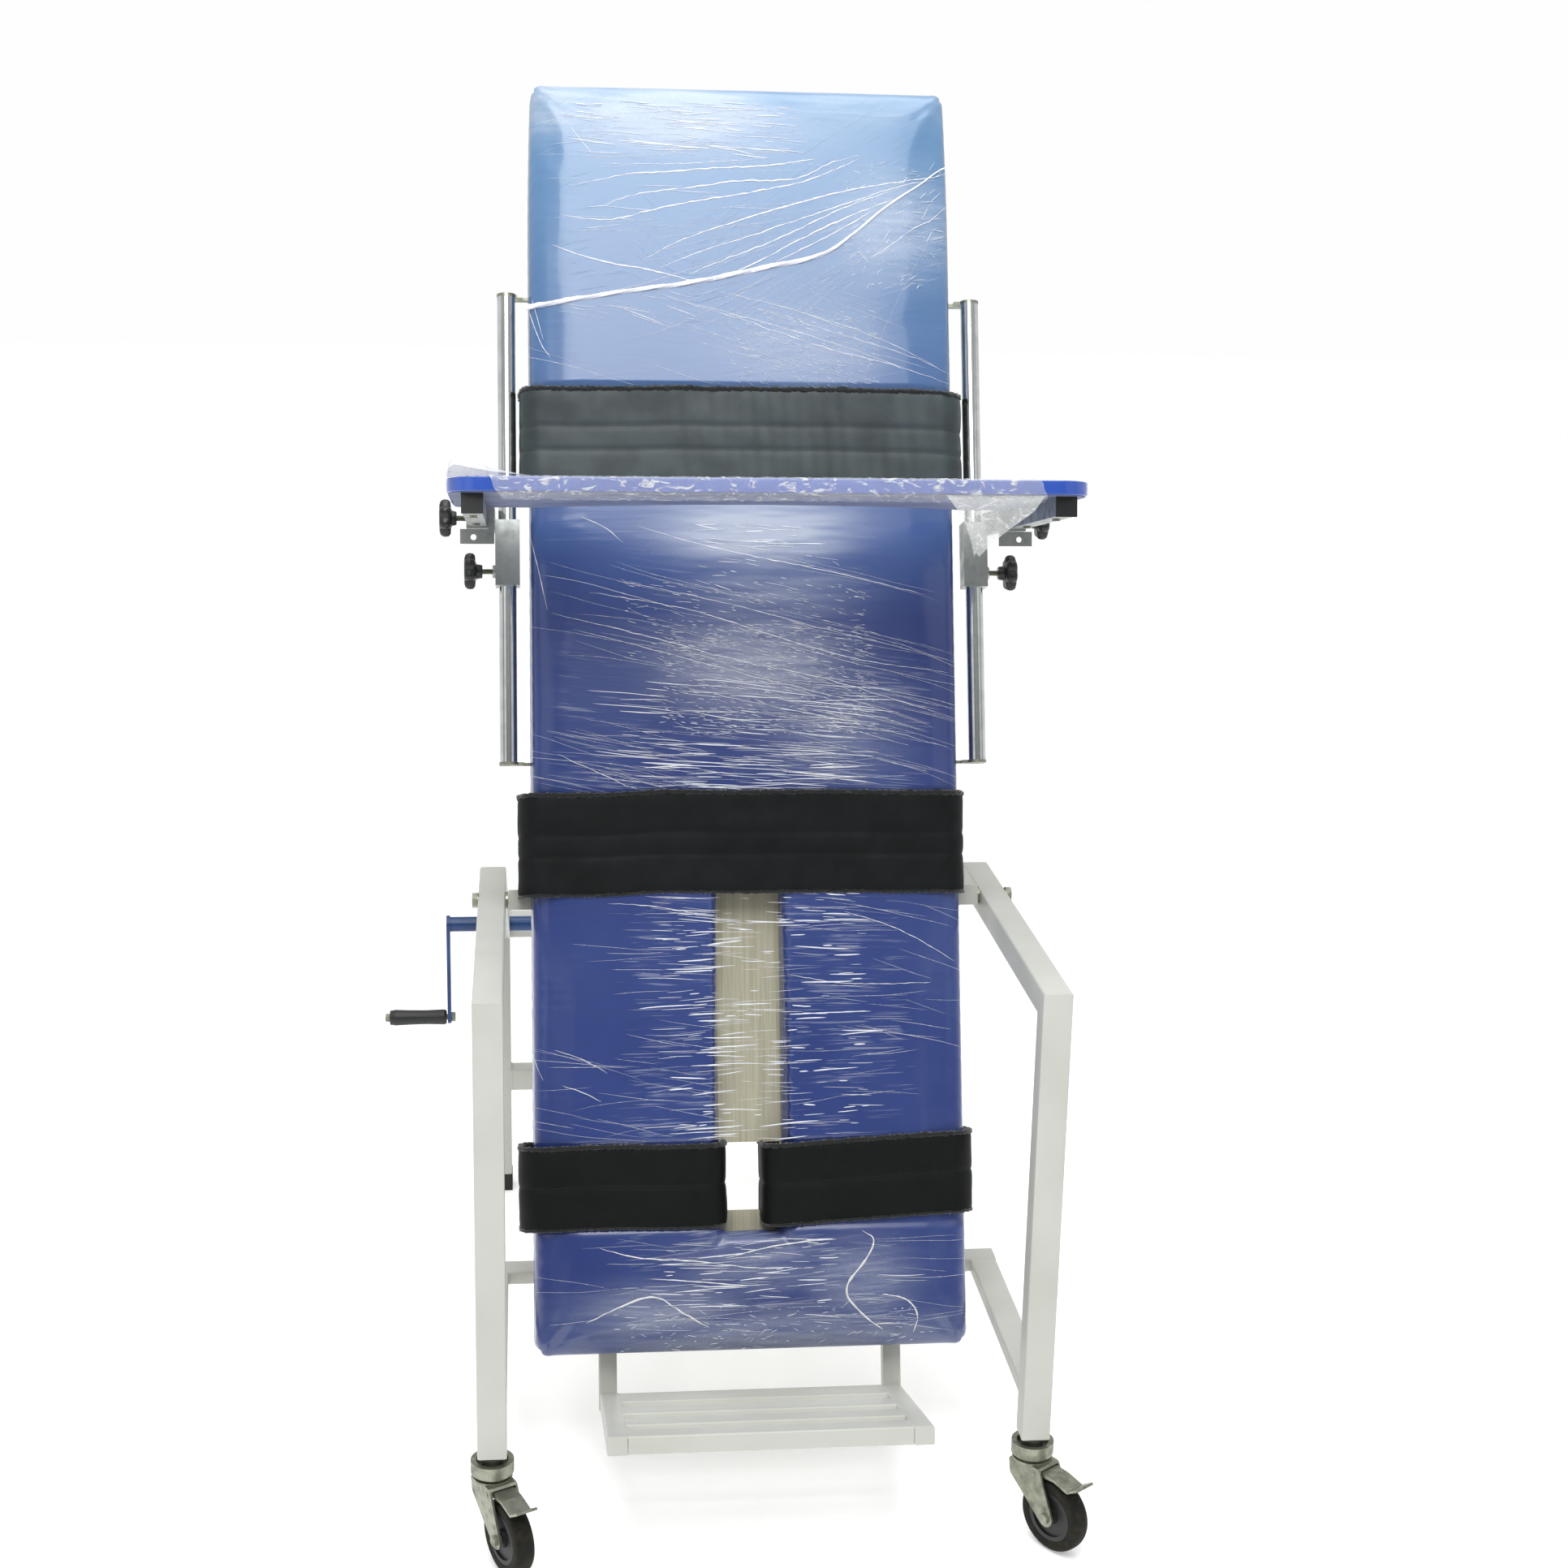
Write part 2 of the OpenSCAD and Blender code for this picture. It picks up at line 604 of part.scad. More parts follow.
// The sleeves that run on the rails, each with a plate to its arm sleeve.
module rail_sliders() color("#a7ada8") on_board() both_sides() difference() {
    union() {
        translate([rail_x - sleeve / 2, -rail_n - sleeve / 2, slider_lo])
            cube([sleeve, sleeve, slider_l]);
        at_arms() translate([rail_x + sleeve / 2, -arm_sleeve_y - arm_sleeve_l / 2, -16])
            cube([arm_x - rail_x - sleeve / 2 - 14, arm_sleeve_y + arm_sleeve_l / 2 + sleeve / 2, 32]);
        at_arms() translate([arm_x, -arm_sleeve_y - arm_sleeve_l / 2, 0]) rotate([-90, 0, 0])
            box_tube(arm + 5, arm + 5, arm_sleeve_l, 2.3);
        translate([rail_x + sleeve / 2 - 1, -rail_n, height_knob_at]) along_x() cylinder(r = 9, h = 5);
        at_arms() translate([rail_x + sleeve / 2, -arm_sleeve_y - arm_sleeve_l / 2, -36])
            cube([46, 3, 20]);
    }
    translate([rail_x, -rail_n, 400]) cylinder(r = rail_d / 2 + clear, h = 200);
    translate([rail_x + 5, -rail_n, height_knob_at]) along_x() cylinder(r = 4.2, h = 30);
    at_arms() translate([arm_x + 5, -arm_sleeve_y, 0]) along_x() cylinder(r = 4.2, h = 30);
    at_arms() translate([rail_x + sleeve / 2 + 28, -arm_sleeve_y - arm_sleeve_l / 2 - 1, -27])
        along_y() cylinder(r = 4, h = 6);
}

module height_knob() {
    translate([rail_x + rail_d / 2 + 0.4, -rail_n, height_knob_at]) along_x()
        knob(22, 10, knob_r);
}

module depth_knob() {
    at_arms() translate([arm_x + arm / 2 + 0.4, -arm_sleeve_y, 0]) along_x() knob(16, 8, knob_r);
}

module height_knob_left() color("#1c1d1d") on_board() left_side() height_knob();
module height_knob_right() color("#1c1d1d") on_board() height_knob();
module depth_knob_left() color("#1c1d1d") on_board() left_side() depth_knob();
module depth_knob_right() color("#1c1d1d") on_board() depth_knob();

module tray_arms() color("#b3b8b4") on_arms() both_sides() translate([arm_x, -arm_reach + 3, 0])
    along_y() box_tube(arm, arm, arm_reach - 20, 2);

module arm_caps() color("#171818") on_arms() both_sides() {
    translate([arm_x - 13.5, -arm_reach, -13.5]) cube([27, 3, 26.3]);
    translate([arm_x - 10.4, -arm_reach + 3, -10.4]) cube([20.8, 10, 20.8]);
}

// The tray has round front corners and a shallow curve at the back for the body.
module tray_board() color("#3b5bb5") on_arms() translate([0, 0, arm / 2 + 0.5]) linear_extrude(tray_t)
    difference() {
        hull() {
            for (x = [-1, 1]) translate([x * (tray_end - 45), -arm_reach - 17 + 45]) circle(45);
            for (x = [-1, 1]) translate([x * (tray_end - 20), -arm_reach - 17 + tray_d - 20]) circle(20);
        }
        translate([0, -arm_reach - 17 + tray_d + 430]) circle(520, $fn = 128);
    }

// Screws up through the arms into the tray.
module tray_bolts() color("silver") on_arms() both_sides()
    for (y = [-arm_reach + 60, -arm_reach + 240]) translate([arm_x, y, -arm / 2 - 3]) {
        cylinder(r = 5, h = 3);
        cylinder(r = 2.5, h = arm + 14);
    }

// ---- footrest ------------------------------------------------------------------------------

module footrest_stems() color(cream) on_board() for (x = [-stem_x, stem_x])
    translate([x, 0, -step_at - step_t]) box_tube(stem, stem, stem_l + step_t, 2);

// The footrest: a welded frame of flat bars with two slats, in front of the stems.
module footrest_frame() color(cream) on_board()
    translate([-step_w / 2, -step_d - stem / 2, -step_at - step_t]) {
        for (x = [0, step_w - step_bar]) translate([x, 0, 0]) cube([step_bar, step_d, step_t]);
        for (bar = step_slats) translate([step_bar - 1, bar[0], 0])
            cube([step_w - 2 * step_bar + 2, bar[1], step_t]);
    }

module footrest_knob(x) {
    on_board() translate([x, stem / 2 + 0.4, step_knob_at]) along_y() knob(20, 8, 20);
}

module footrest_knob_left() color("#1c1d1d") footrest_knob(-stem_x);
module footrest_knob_right() color("#1c1d1d") footrest_knob(stem_x);

front_posts();
top_rails();
slope_rails();
rear_legs();
lower_side_rails();
cross_tubes();
spine_tubes();
rear_feet();
post_plugs();
pivot_bolts();
crank_brackets();
caster_heads();
caster_fork_left();
caster_fork_right();
caster_axle_left();
caster_axle_right();
caster_tyre_left();
caster_tyre_right();
caster_hub_left();
caster_hub_right();
brake_pedal_left();
brake_pedal_right();
crank_shaft();
drive_bevel();
crank_arm();
grip_bolt();
crank_grip();
gearbox_housing();
gearbox_cover();
jack_outer_tube();
jack_screw();
screw_bevel();
jack_nut();
jack_inner_tube();
jack_eye();
board_side_tubes();
board_cross_tubes();
pivot_bushes();
jack_lug();
ply_board();
pad();
chest_strap();
hip_strap();
left_leg_strap();
right_leg_strap();
chrome_rails();
rail_brackets();
rail_sliders();
height_knob_left();
height_knob_right();
depth_knob_left();
depth_knob_right();
tray_arms();
arm_caps();
tray_board();
tray_bolts();
footrest_stems();
footrest_frame();
footrest_knob_left();
footrest_knob_right();
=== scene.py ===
"""Looks of a hand-cranked tilt table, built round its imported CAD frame.

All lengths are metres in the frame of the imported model. The board, the tray arms and the
casters have frames of their own, and every shape is worked out in one of them.
"""

from __future__ import annotations

import json
import logging
from dataclasses import dataclass
from enum import Enum
from typing import Callable, Iterable, Sequence

import bmesh
import bpy
import numpy as np
from mathutils import Matrix, Vector

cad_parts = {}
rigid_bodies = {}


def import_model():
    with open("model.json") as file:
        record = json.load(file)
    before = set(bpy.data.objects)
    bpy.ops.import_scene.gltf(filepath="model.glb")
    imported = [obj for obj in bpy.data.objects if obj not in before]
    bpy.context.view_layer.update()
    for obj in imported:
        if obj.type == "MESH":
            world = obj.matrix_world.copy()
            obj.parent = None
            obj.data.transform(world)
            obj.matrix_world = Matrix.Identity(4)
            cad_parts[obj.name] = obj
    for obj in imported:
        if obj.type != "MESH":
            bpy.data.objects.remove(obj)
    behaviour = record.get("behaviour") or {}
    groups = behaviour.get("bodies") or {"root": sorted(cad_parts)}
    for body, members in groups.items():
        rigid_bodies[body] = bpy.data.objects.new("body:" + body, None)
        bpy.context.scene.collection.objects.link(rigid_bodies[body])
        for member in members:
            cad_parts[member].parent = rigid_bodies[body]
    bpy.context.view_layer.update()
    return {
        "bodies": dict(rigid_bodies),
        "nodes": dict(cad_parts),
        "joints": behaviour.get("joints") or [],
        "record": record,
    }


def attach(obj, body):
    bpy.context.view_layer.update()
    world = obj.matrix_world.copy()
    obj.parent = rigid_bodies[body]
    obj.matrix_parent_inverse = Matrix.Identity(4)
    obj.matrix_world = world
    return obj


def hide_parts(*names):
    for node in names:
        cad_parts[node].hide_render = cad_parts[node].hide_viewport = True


LOG = logging.getLogger("tilt_table")
Tree = bpy.types.NodeTree
Node = bpy.types.Node
Socket = bpy.types.NodeSocket
Piece = bpy.types.Object
MM = 0.001
X_AXIS = np.array([1.0, 0.0, 0.0])
Y_AXIS = np.array([0.0, 1.0, 0.0])
Z_AXIS = np.array([0.0, 0.0, 1.0])


# ---- frames ---------------------------------------------------------------------------------


@dataclass(frozen=True)
class Axes:
    """An origin and three unit axes in which local points are given in millimetres."""

    origin: np.ndarray
    x: np.ndarray
    y: np.ndarray
    z: np.ndarray

    def place(self, local: np.ndarray) -> np.ndarray:
        """Turns local points in millimetres into part points in metres.

        Args:
            local: points, the last axis holding x, y and z.

        Returns:
            The same points in the part's frame: origin + x*ax + y*ay + z*az.
        """
        basis = np.stack([self.x, self.y, self.z])
        return self.origin + (np.asarray(local, float) * MM) @ basis

    def turned(self, offset: Sequence[float], about: str, degrees: float) -> "Axes":
        """Gives axes moved by a local offset and turned about one of their own axes.

        Args:
            offset: local millimetres from this origin to the new one.
            about: "x" or "z".
            degrees: turn by the right-hand rule.

        Returns:
            The new axes.
        """
        c, s = np.cos(np.radians(degrees)), np.sin(np.radians(degrees))
        start = self.place(np.array(offset, float))
        if about == "x":
            return Axes(start, self.x, c * self.y + s * self.z, c * self.z - s * self.y)
        return Axes(start, c * self.x + s * self.y, c * self.y - s * self.x, self.z)


@dataclass(frozen=True)
class Layout:
    """The sizes that the CAD part is laid out with, in millimetres."""

    shift_x: float = -60.0
    shift_y: float = 562.5
    lean: float = 18.2
    pivot_y: float = 450.0
    pivot_z: float = 760.0
    tube: float = 38.0
    base_w: float = 749.0
    rail_h: float = 769.0
    top_rail_l: float = 580.0
    rear_leg_y: float = 1163.0
    rear_leg_h: float = 507.0
    rear_cross_h: float = 226.0
    low_rail_h: float = 219.0
    low_rail_l: float = 429.0
    cross_h: float = 20.0
    post_foot: float = 148.0
    foot_h: float = 30.0
    side_x: float = 355.5
    stem_x: float = 199.0
    rail_x: float = 330.5
    rail_n: float = 40.0
    tray_at: float = 528.7
    arm_fall: float = 6.7
    arm_x: float = 370.0
    step_at: float = 684.6
    wheel_r: float = 50.0
    trail: float = 45.0
    swivel: tuple[float, float] = (28.0, 36.0)

    def machine(self) -> Axes:
        """Gives the base's axes: x = 0 in the middle, y = 0 at the posts' front.

        Returns:
            The axes.
        """
        origin = np.array([-self.shift_x, -self.shift_y, 0.0]) * MM
        return Axes(origin, X_AXIS, Y_AXIS, Z_AXIS)

    def board(self) -> Axes:
        """Gives the board's axes: z up the board from the pivot, y out of its back.

        Returns:
            The axes.
        """
        return self.machine().turned((0, self.pivot_y, self.pivot_z), "x", -self.lean)

    def arms(self) -> Axes:
        """Gives the tray arms' axes: -y out along the arms, z square to the tray.

        Returns:
            The axes.
        """
        return self.board().turned((0, -self.rail_n, self.tray_at), "x", self.arm_fall)

    def caster(self, side: int) -> Axes:
        """Gives a caster's axes for side -1 or 1: z = 0 is the floor, the wheel is at -y.

        Args:
            side: -1 for the left one and 1 for the right one.

        Returns:
            The axes.
        """
        turn = self.swivel[0] if side < 0 else self.swivel[1]
        return self.machine().turned((side * self.side_x, self.tube / 2, 0), "z", turn)


LAYOUT = Layout()


class Side(Enum):
    """Left or right of the machine, seen from its front."""

    LEFT = -1
    RIGHT = 1

    @property
    def word(self) -> str:
        """Gives the word used in node and body names.

        Returns:
            The word.
        """
        return self.name.lower()


# ---- meshes ---------------------------------------------------------------------------------


def grid_faces(rows: int, cols: int, wrap_rows: bool, wrap_cols: bool) -> np.ndarray:
    """Gives the quads of a grid of points numbered row by row.

    Args:
        rows: number of rows.
        cols: number of points in a row.
        wrap_rows: whether the last row joins the first.
        wrap_cols: whether the last point of a row joins its first.

    Returns:
        An array of four point numbers a face.
    """
    r = np.arange(rows if wrap_rows else rows - 1)
    c = np.arange(cols if wrap_cols else cols - 1)
    a, b = (g.ravel() for g in np.meshgrid(r, c, indexing="ij"))
    a1, b1 = (a + 1) % rows, (b + 1) % cols
    return np.stack([a * cols + b, a * cols + b1, a1 * cols + b1, a1 * cols + b], 1)


class Shell:
    """Gathers surfaces of one piece and turns them into one mesh object."""

    def __init__(self, name: str) -> None:
        """Starts an empty piece of that name.

        Args:
            name: the piece's name.
        """
        self.name = name
        self.points: list[np.ndarray] = []
        self.faces: list[list[int]] = []
        self.uvs: list[np.ndarray] = []
        self.count = 0

    def grid(
        self,
        points: np.ndarray,
        wrap_rows: bool = False,
        wrap_cols: bool = True,
        caps: bool = True,
        uv: np.ndarray | None = None,
    ) -> "Shell":
        """Adds a grid surface; open ends of closed rows are capped with one face each.

        Args:
            points: an array rows x cols x 3 in metres.
            wrap_rows: whether the last row joins the first.
            wrap_cols: whether each row is a closed loop.
            caps: whether to close the first and last rows of a tube.
            uv: rows x cols x 2 surface coordinates in metres, or None.

        Returns:
            The shell itself.
        """
        rows, cols = points.shape[:2]
        faces = grid_faces(rows, cols, wrap_rows, wrap_cols) + self.count
        self.faces += faces.tolist()
        if caps and wrap_cols and not wrap_rows:
            first = np.arange(cols)
            self.faces.append((first[::-1] + self.count).tolist())
            self.faces.append((first + (rows - 1) * cols + self.count).tolist())
        self.points.append(points.reshape(-1, 3))
        flat = np.zeros((rows * cols, 2)) if uv is None else uv.reshape(-1, 2)
        self.uvs.append(flat)
        self.count += rows * cols
        return self

    def build(self, sharp: float = 40.0) -> Piece:
        """Makes the object, with its faces outwards and edges sharper than an angle kept.

        Args:
            sharp: the angle between faces, in degrees, from which an edge stays sharp.

        Returns:
            The linked object, at the origin.
        """
        mesh = bpy.data.meshes.new(self.name)
        mesh.from_pydata(np.concatenate(self.points).tolist(), [], self.faces)
        layer = mesh.uv_layers.new(name="surface")
        corner = np.zeros(len(mesh.loops), np.int32)
        mesh.loops.foreach_get("vertex_index", corner)
        layer.data.foreach_set("uv", np.concatenate(self.uvs)[corner].ravel())
        work = bmesh.new()
        work.from_mesh(mesh)
        bmesh.ops.remove_doubles(work, verts=work.verts, dist=2e-6)
        bmesh.ops.recalc_face_normals(work, faces=work.faces)
        work.to_mesh(mesh)
        work.free()
        mesh.polygons.foreach_set("use_smooth", np.ones(len(mesh.polygons), bool))
        mesh.set_sharp_from_angle(angle=np.radians(sharp))
        mesh.update()
        made = bpy.data.objects.new(self.name, mesh)
        bpy.context.scene.collection.objects.link(made)
        return made


def rounded_rectangle(w: float, d: float, r: float, steps: int = 4) -> np.ndarray:
    """Gives a closed outline: straight sides joined by quarter circles at the corners.

    Args:
        w: size along the first axis.
        d: size along the second axis.
        r: corner radius.
        steps: arcs' steps.

    Returns:
        Points N x 2 round the outline, counter-clockwise.
    """
    corner = np.repeat(np.arange(4), steps + 1)
    angle = np.pi / 2 * (corner + np.tile(np.linspace(0, 1, steps + 1), 4))
    sign_x = np.array([1, -1, -1, 1])[corner]
    sign_y = np.array([1, 1, -1, -1])[corner]
    x = sign_x * (w / 2 - r) + r * np.cos(angle)
    y = sign_y * (d / 2 - r) + r * np.sin(angle)
    return np.stack([x, y], 1)


def tube_run(
    path: Sequence[Sequence[float]],
    side: np.ndarray,
    w: float,
    d: float,
    r: float = 3.0,
    upright_end: bool = False,
) -> np.ndarray:
    """Carries a rounded rectangle along a bent path with mitred corners.

    At each corner the section lies in the mitre plane: its height runs along
    (n0 + n1) / (1 + n0.n1), where n0 and n1 are square to the legs.

    Args:
        path: corner points in millimetres.
        side: unit vector that the section's width runs along.
        w: width of the section.
        d: height of the section.
        r: radius of its corners.
        upright_end: whether the last section stands upright, as against a post.

    Returns:
        Points rows x cols x 3 in millimetres.
    """
    nodes = np.array(path, float)
    steps = np.diff(nodes, axis=0)
    legs = steps / np.linalg.norm(steps, axis=1)[:, None]
    normals = np.cross(legs, side)
    before = np.vstack([normals[:1], normals])
    after = np.vstack([normals, normals[-1:]])
    dot = np.sum(before * after, axis=1)[:, None]
    height = (before + after) / (1 + dot)
    if upright_end:
        height[-1] = Z_AXIS * np.sign(height[-1, 2]) / abs(normals[-1, 2])
    section = rounded_rectangle(w, d, r)
    across = section[None, :, :1] * side[None, None, :]
    up = section[None, :, 1:] * height[:, None, :]
    return nodes[:, None, :] + across + up


def lathe(profile: np.ndarray, steps: int, axes: Axes) -> np.ndarray:
    """Turns a profile of (radius, height) pairs about the axes' x direction.

    Args:
        profile: points N x 2, radius then place along x, in millimetres.
        steps: number of steps round.
        axes: where the spindle stands.

    Returns:
        Points N x steps x 3 in metres.
    """
    angle = np.linspace(0, 2 * np.pi, steps, endpoint=False)
    radius, along = profile[:, :1], profile[:, 1:]
    local = np.stack([along + 0 * angle, radius * np.cos(angle), radius * np.sin(angle)], -1)
    return axes.place(local)


def soft_noise(
    points: np.ndarray, scale: Sequence[float], seed: int, terms: int = 10
) -> np.ndarray:
    """Adds up plane waves of seeded directions into smooth noise of about -1 to 1.

    Args:
        points: points N x 3 in millimetres.
        scale: the wave length along each axis in millimetres.
        seed: fixes the waves.
        terms: number of waves.

    Returns:
        One value a point.
    """
    rng = np.random.default_rng(seed)
    waves = rng.normal(size=(terms, 3))
    waves *= 2 * np.pi / np.array(scale, float)
    phase = rng.uniform(0, 2 * np.pi, terms)
    return np.sin(points @ waves.T + phase).sum(1) / np.sqrt(terms * 0.9)


def mesh_points(item: Piece) -> np.ndarray:
    """Reads an object's vertices as an array N x 3 in metres.

    Args:
        item: a mesh object at the origin.

    Returns:
        Its vertices.
    """
    data = np.zeros(len(item.data.vertices) * 3)
    item.data.vertices.foreach_get("co", data)
    return data.reshape(-1, 3)


def set_mesh_points(item: Piece, points: np.ndarray) -> None:
    """Writes an object's vertices from an array N x 3 in metres.

    Args:
        item: a mesh object.
        points: a place for each vertex.
    """
    item.data.vertices.foreach_set("co", points.ravel())
    item.data.update()


def to_local(axes: Axes, points: np.ndarray) -> np.ndarray:
    """Turns part points in metres into local millimetres of the axes.

    Args:
        axes: the axes.
        points: points N x 3.

    Returns:
        Local points N x 3: (p - origin) times each axis.
    """
    basis = np.stack([axes.x, axes.y, axes.z])
    return (points - axes.origin) @ basis.T / MM


# ---- finishes -------------------------------------------------------------------------------


def linear(code: str) -> tuple[float, float, float, float]:
    """Turns an sRGB hex colour into linear red, green, blue and 1.

    Args:
        code: the colour as "#RRGGBB".

    Returns:
        Linear channels: v / 12.92 up to 0.04045, ((v + 0.055) / 1.055)^2.4 above.
    """
    raw = np.array([int(code[i : i + 2], 16) for i in (1, 3, 5)]) / 255
    value = np.where(raw <= 0.04045, raw / 12.92, ((raw + 0.055) / 1.055) ** 2.4)
    return float(value[0]), float(value[1]), float(value[2]), 1.0


def add_node(
    tree: Tree,
    kind: str,
    settings: dict | None = None,
    values: dict | None = None,
    links: dict | None = None,
) -> Node:
    """Adds a node with its settings, its unlinked values and its links.

    Args:
        tree: the material's node tree.
        kind: the node's type name.
        settings: attributes to set on the node.
        values: input sockets, by name or number, and their values.
        links: input sockets, by name or number, and the outputs that feed them.

    Returns:
        The node.
    """
    node = tree.nodes.new(kind)
    for key, value in (settings or {}).items():
        setattr(node, key, value)
    for key, value in (values or {}).items():
        node.inputs[key].default_value = value
    for key, source in (links or {}).items():
        tree.links.new(source, node.inputs[key])
    return node


def ramp_between(tree: Tree, source: Socket, low: float, high: float) -> Socket:
    """Maps low..high of a value to 0..1, held at both ends.

    Args:
        tree: the material's node tree.
        source: the value's output.
        low: what becomes 0.
        high: what becomes 1.

    Returns:
        The mapped value's output.
    """
    node = add_node(
        tree,
        "ShaderNodeMapRange",
        values={"From Min": low, "From Max": high},
        links={"Value": source},
    )
    return node.outputs["Result"]


def blend_colour(tree: Tree, amount: Socket, first: object, second: object) -> Socket:
    """Mixes two colours, each a hex code or an output, by an amount from 0 to 1.

    Args:
        tree: the material's node tree.
        amount: the share of the second.
        first: the colour at 0.
        second: the colour at 1.

    Returns:
        The mixed colour's output.
    """
    node = add_node(tree, "ShaderNodeMix", {"data_type": "RGBA"}, links={"Factor": amount})
    for socket, colour in (("A", first), ("B", second)):
        target = [s for s in node.inputs if s.name == socket and s.type == "RGBA"][0]
        if isinstance(colour, str):
            target.default_value = linear(colour)
        else:
            tree.links.new(colour, target)
    return [s for s in node.outputs if s.type == "RGBA"][0]


def noise_at(
    tree: Tree,
    where: Socket,
    size_mm: float | Sequence[float],
    detail: float = 3.0,
    distortion: float = 0.0,
) -> Socket:
    """Adds noise whose lumps are about size_mm across, one size or one an axis.

    Args:
        tree: the material's node tree.
        where: coordinates in metres.
        size_mm: the lumps' size.
        detail: octaves.
        distortion: how much the lumps swirl.

    Returns:
        The noise's output, about 0 to 1.
    """
    sizes = [size_mm] * 3 if isinstance(size_mm, (int, float)) else list(size_mm)
    spread = add_node(
        tree,
        "ShaderNodeMapping",
        values={"Scale": [1000.0 / s for s in sizes]},
        links={"Vector": where},
    )
    node = add_node(
        tree,
        "ShaderNodeTexNoise",
        values={"Scale": 1.0, "Detail": detail, "Distortion": distortion},
        links={"Vector": spread.outputs[0]},
    )
    return node.outputs["Fac"]


def calc(tree: Tree, operation: str, *inputs: Socket | float, clamp: bool = False) -> Socket:
    """Adds one step of arithmetic.

    Args:
        tree: the material's node tree.
        operation: the Math node's operation.
        *inputs: outputs or numbers, in the order of its inputs.
        clamp: whether the result is held between 0 and 1.

    Returns:
        The result's output.
    """
    node = add_node(tree, "ShaderNodeMath", {"operation": operation, "use_clamp": clamp})
    for number, value in enumerate(inputs):
        if isinstance(value, (int, float)):
            node.inputs[number].default_value = value
        else:
            tree.links.new(value, node.inputs[number])
    return node.outputs[0]


def attribute(tree: Tree, name: str, output: str) -> Socket:
    """Reads an attribute of the mesh.

    Args:
        tree: the material's node tree.
        name: the attribute's name.
        output: "Fac" for a number and "Vector" for three.

    Returns:
        The attribute's output.
    """
    return add_node(tree, "ShaderNodeAttribute", {"attribute_name": name}).outputs[output]


@dataclass(frozen=True)
class Finish:
    """A finish with a base and a second colour, uneven gloss and a fine surface grain."""

    name: str
    slot: str
    colour: str
    second: str
    roughness: float
    metallic: float = 0.0
    mottle_mm: float = 60.0
    mottle: tuple[float, float] = (0.4, 0.7)
    grain_mm: float | tuple[float, float, float] = 1.5
    grain_depth_mm: float = 0.04
    rough_spread: float = 0.08
    coat: float = 0.0
    ior: float = 1.5
    sheen: float = 0.0

    def material(self) -> bpy.types.Material:
        """Makes the material, or gives the one already made for this finish.

        Returns:
            The material.
        """
        found = bpy.data.materials.get(self.name)
        if found is not None:
            return found
        made = bpy.data.materials.new(self.name)
        made.use_nodes = True
        tree = made.node_tree
        shader = tree.nodes["Principled BSDF"]
        shader.inputs["Metallic"].default_value = self.metallic
        shader.inputs["IOR"].default_value = self.ior
        shader.inputs["Coat Weight"].default_value = self.coat
        shader.inputs["Coat Roughness"].default_value = 0.08
        shader.inputs["Sheen Weight"].default_value = self.sheen
        place = add_node(tree, "ShaderNodeTexCoord").outputs["Object"]
        self.dress(tree, shader, place)
        return made

    def dress(self, tree: Tree, shader: Node, place: Socket) -> None:
        """Links colour, gloss and grain to the shader.

        Args:
            tree: the material's node tree.
            shader: its Principled shader.
            place: Object coordinates in metres.
        """
        lumps = ramp_between(tree, noise_at(tree, place, self.mottle_mm, 5), *self.mottle)
        colour = blend_colour(tree, lumps, self.colour, self.second)
        tree.links.new(colour, shader.inputs["Base Color"])
        self.gloss(tree, shader, lumps)
        self.relief(tree, shader, noise_at(tree, place, self.grain_mm), self.grain_depth_mm)

    def gloss(self, tree: Tree, shader: Node, spread: Socket) -> None:
        """Varies roughness by rough_spread with a value from 0 to 1.

        Args:
            tree: the material's node tree.
            shader: its Principled shader.
            spread: the value's output.
        """
        node = add_node(
            tree,
            "ShaderNodeMapRange",
            values={
                "To Min": self.roughness,
                "To Max": min(1.0, self.roughness + self.rough_spread),
            },
            links={"Value": spread},
        )
        tree.links.new(node.outputs["Result"], shader.inputs["Roughness"])

    def relief(self, tree: Tree, shader: Node, height: Socket, depth_mm: float) -> None:
        """Links a height from 0 to 1 to the shader's normal, depth_mm high.

        Args:
            tree: the material's node tree.
            shader: its Principled shader.
            height: the height's output.
            depth_mm: the relief's depth.
        """
        bump = add_node(
            tree,
            "ShaderNodeBump",
            values={"Strength": 1.0, "Distance": depth_mm * MM},
            links={"Height": height},
        )
        tree.links.new(bump.outputs["Normal"], shader.inputs["Normal"])


@dataclass(frozen=True)
class PlywoodFinish(Finish):
    """Sanded birch plywood: long pale grain up the board."""

    def dress(self, tree: Tree, shader: Node, place: Socket) -> None:
        """Stretches the grain along the board, 3 mm wide and 120 mm long.

        Args:
            tree: the material's node tree.
            shader: its Principled shader.
            place: Object coordinates in metres.
        """
        along = board_place(tree, place)
        grain = noise_at(tree, along, (3.0, 3.0, 120.0), 6, 0.4)
        tint = ramp_between(tree, grain, 0.35, 0.7)
        colour = blend_colour(tree, tint, self.colour, self.second)
        tree.links.new(colour, shader.inputs["Base Color"])
        self.gloss(tree, shader, tint)
        self.relief(tree, shader, grain, self.grain_depth_mm)


def board_place(tree: Tree, place: Socket) -> Socket:
    """Turns Object coordinates into the board's: x across, y to the back, z up it.

    Args:
        tree: the material's node tree.
        place: Object coordinates in metres.

    Returns:
        The turned coordinates' output, in metres.
    """
    frame = LAYOUT.board()
    node = add_node(
        tree,
        "ShaderNodeMapping",
        {"vector_type": "TEXTURE"},
        {"Location": frame.origin.tolist(), "Rotation": (-np.radians(LAYOUT.lean), 0.0, 0.0)},
        {"Vector": place},
    )
    return node.outputs[0]


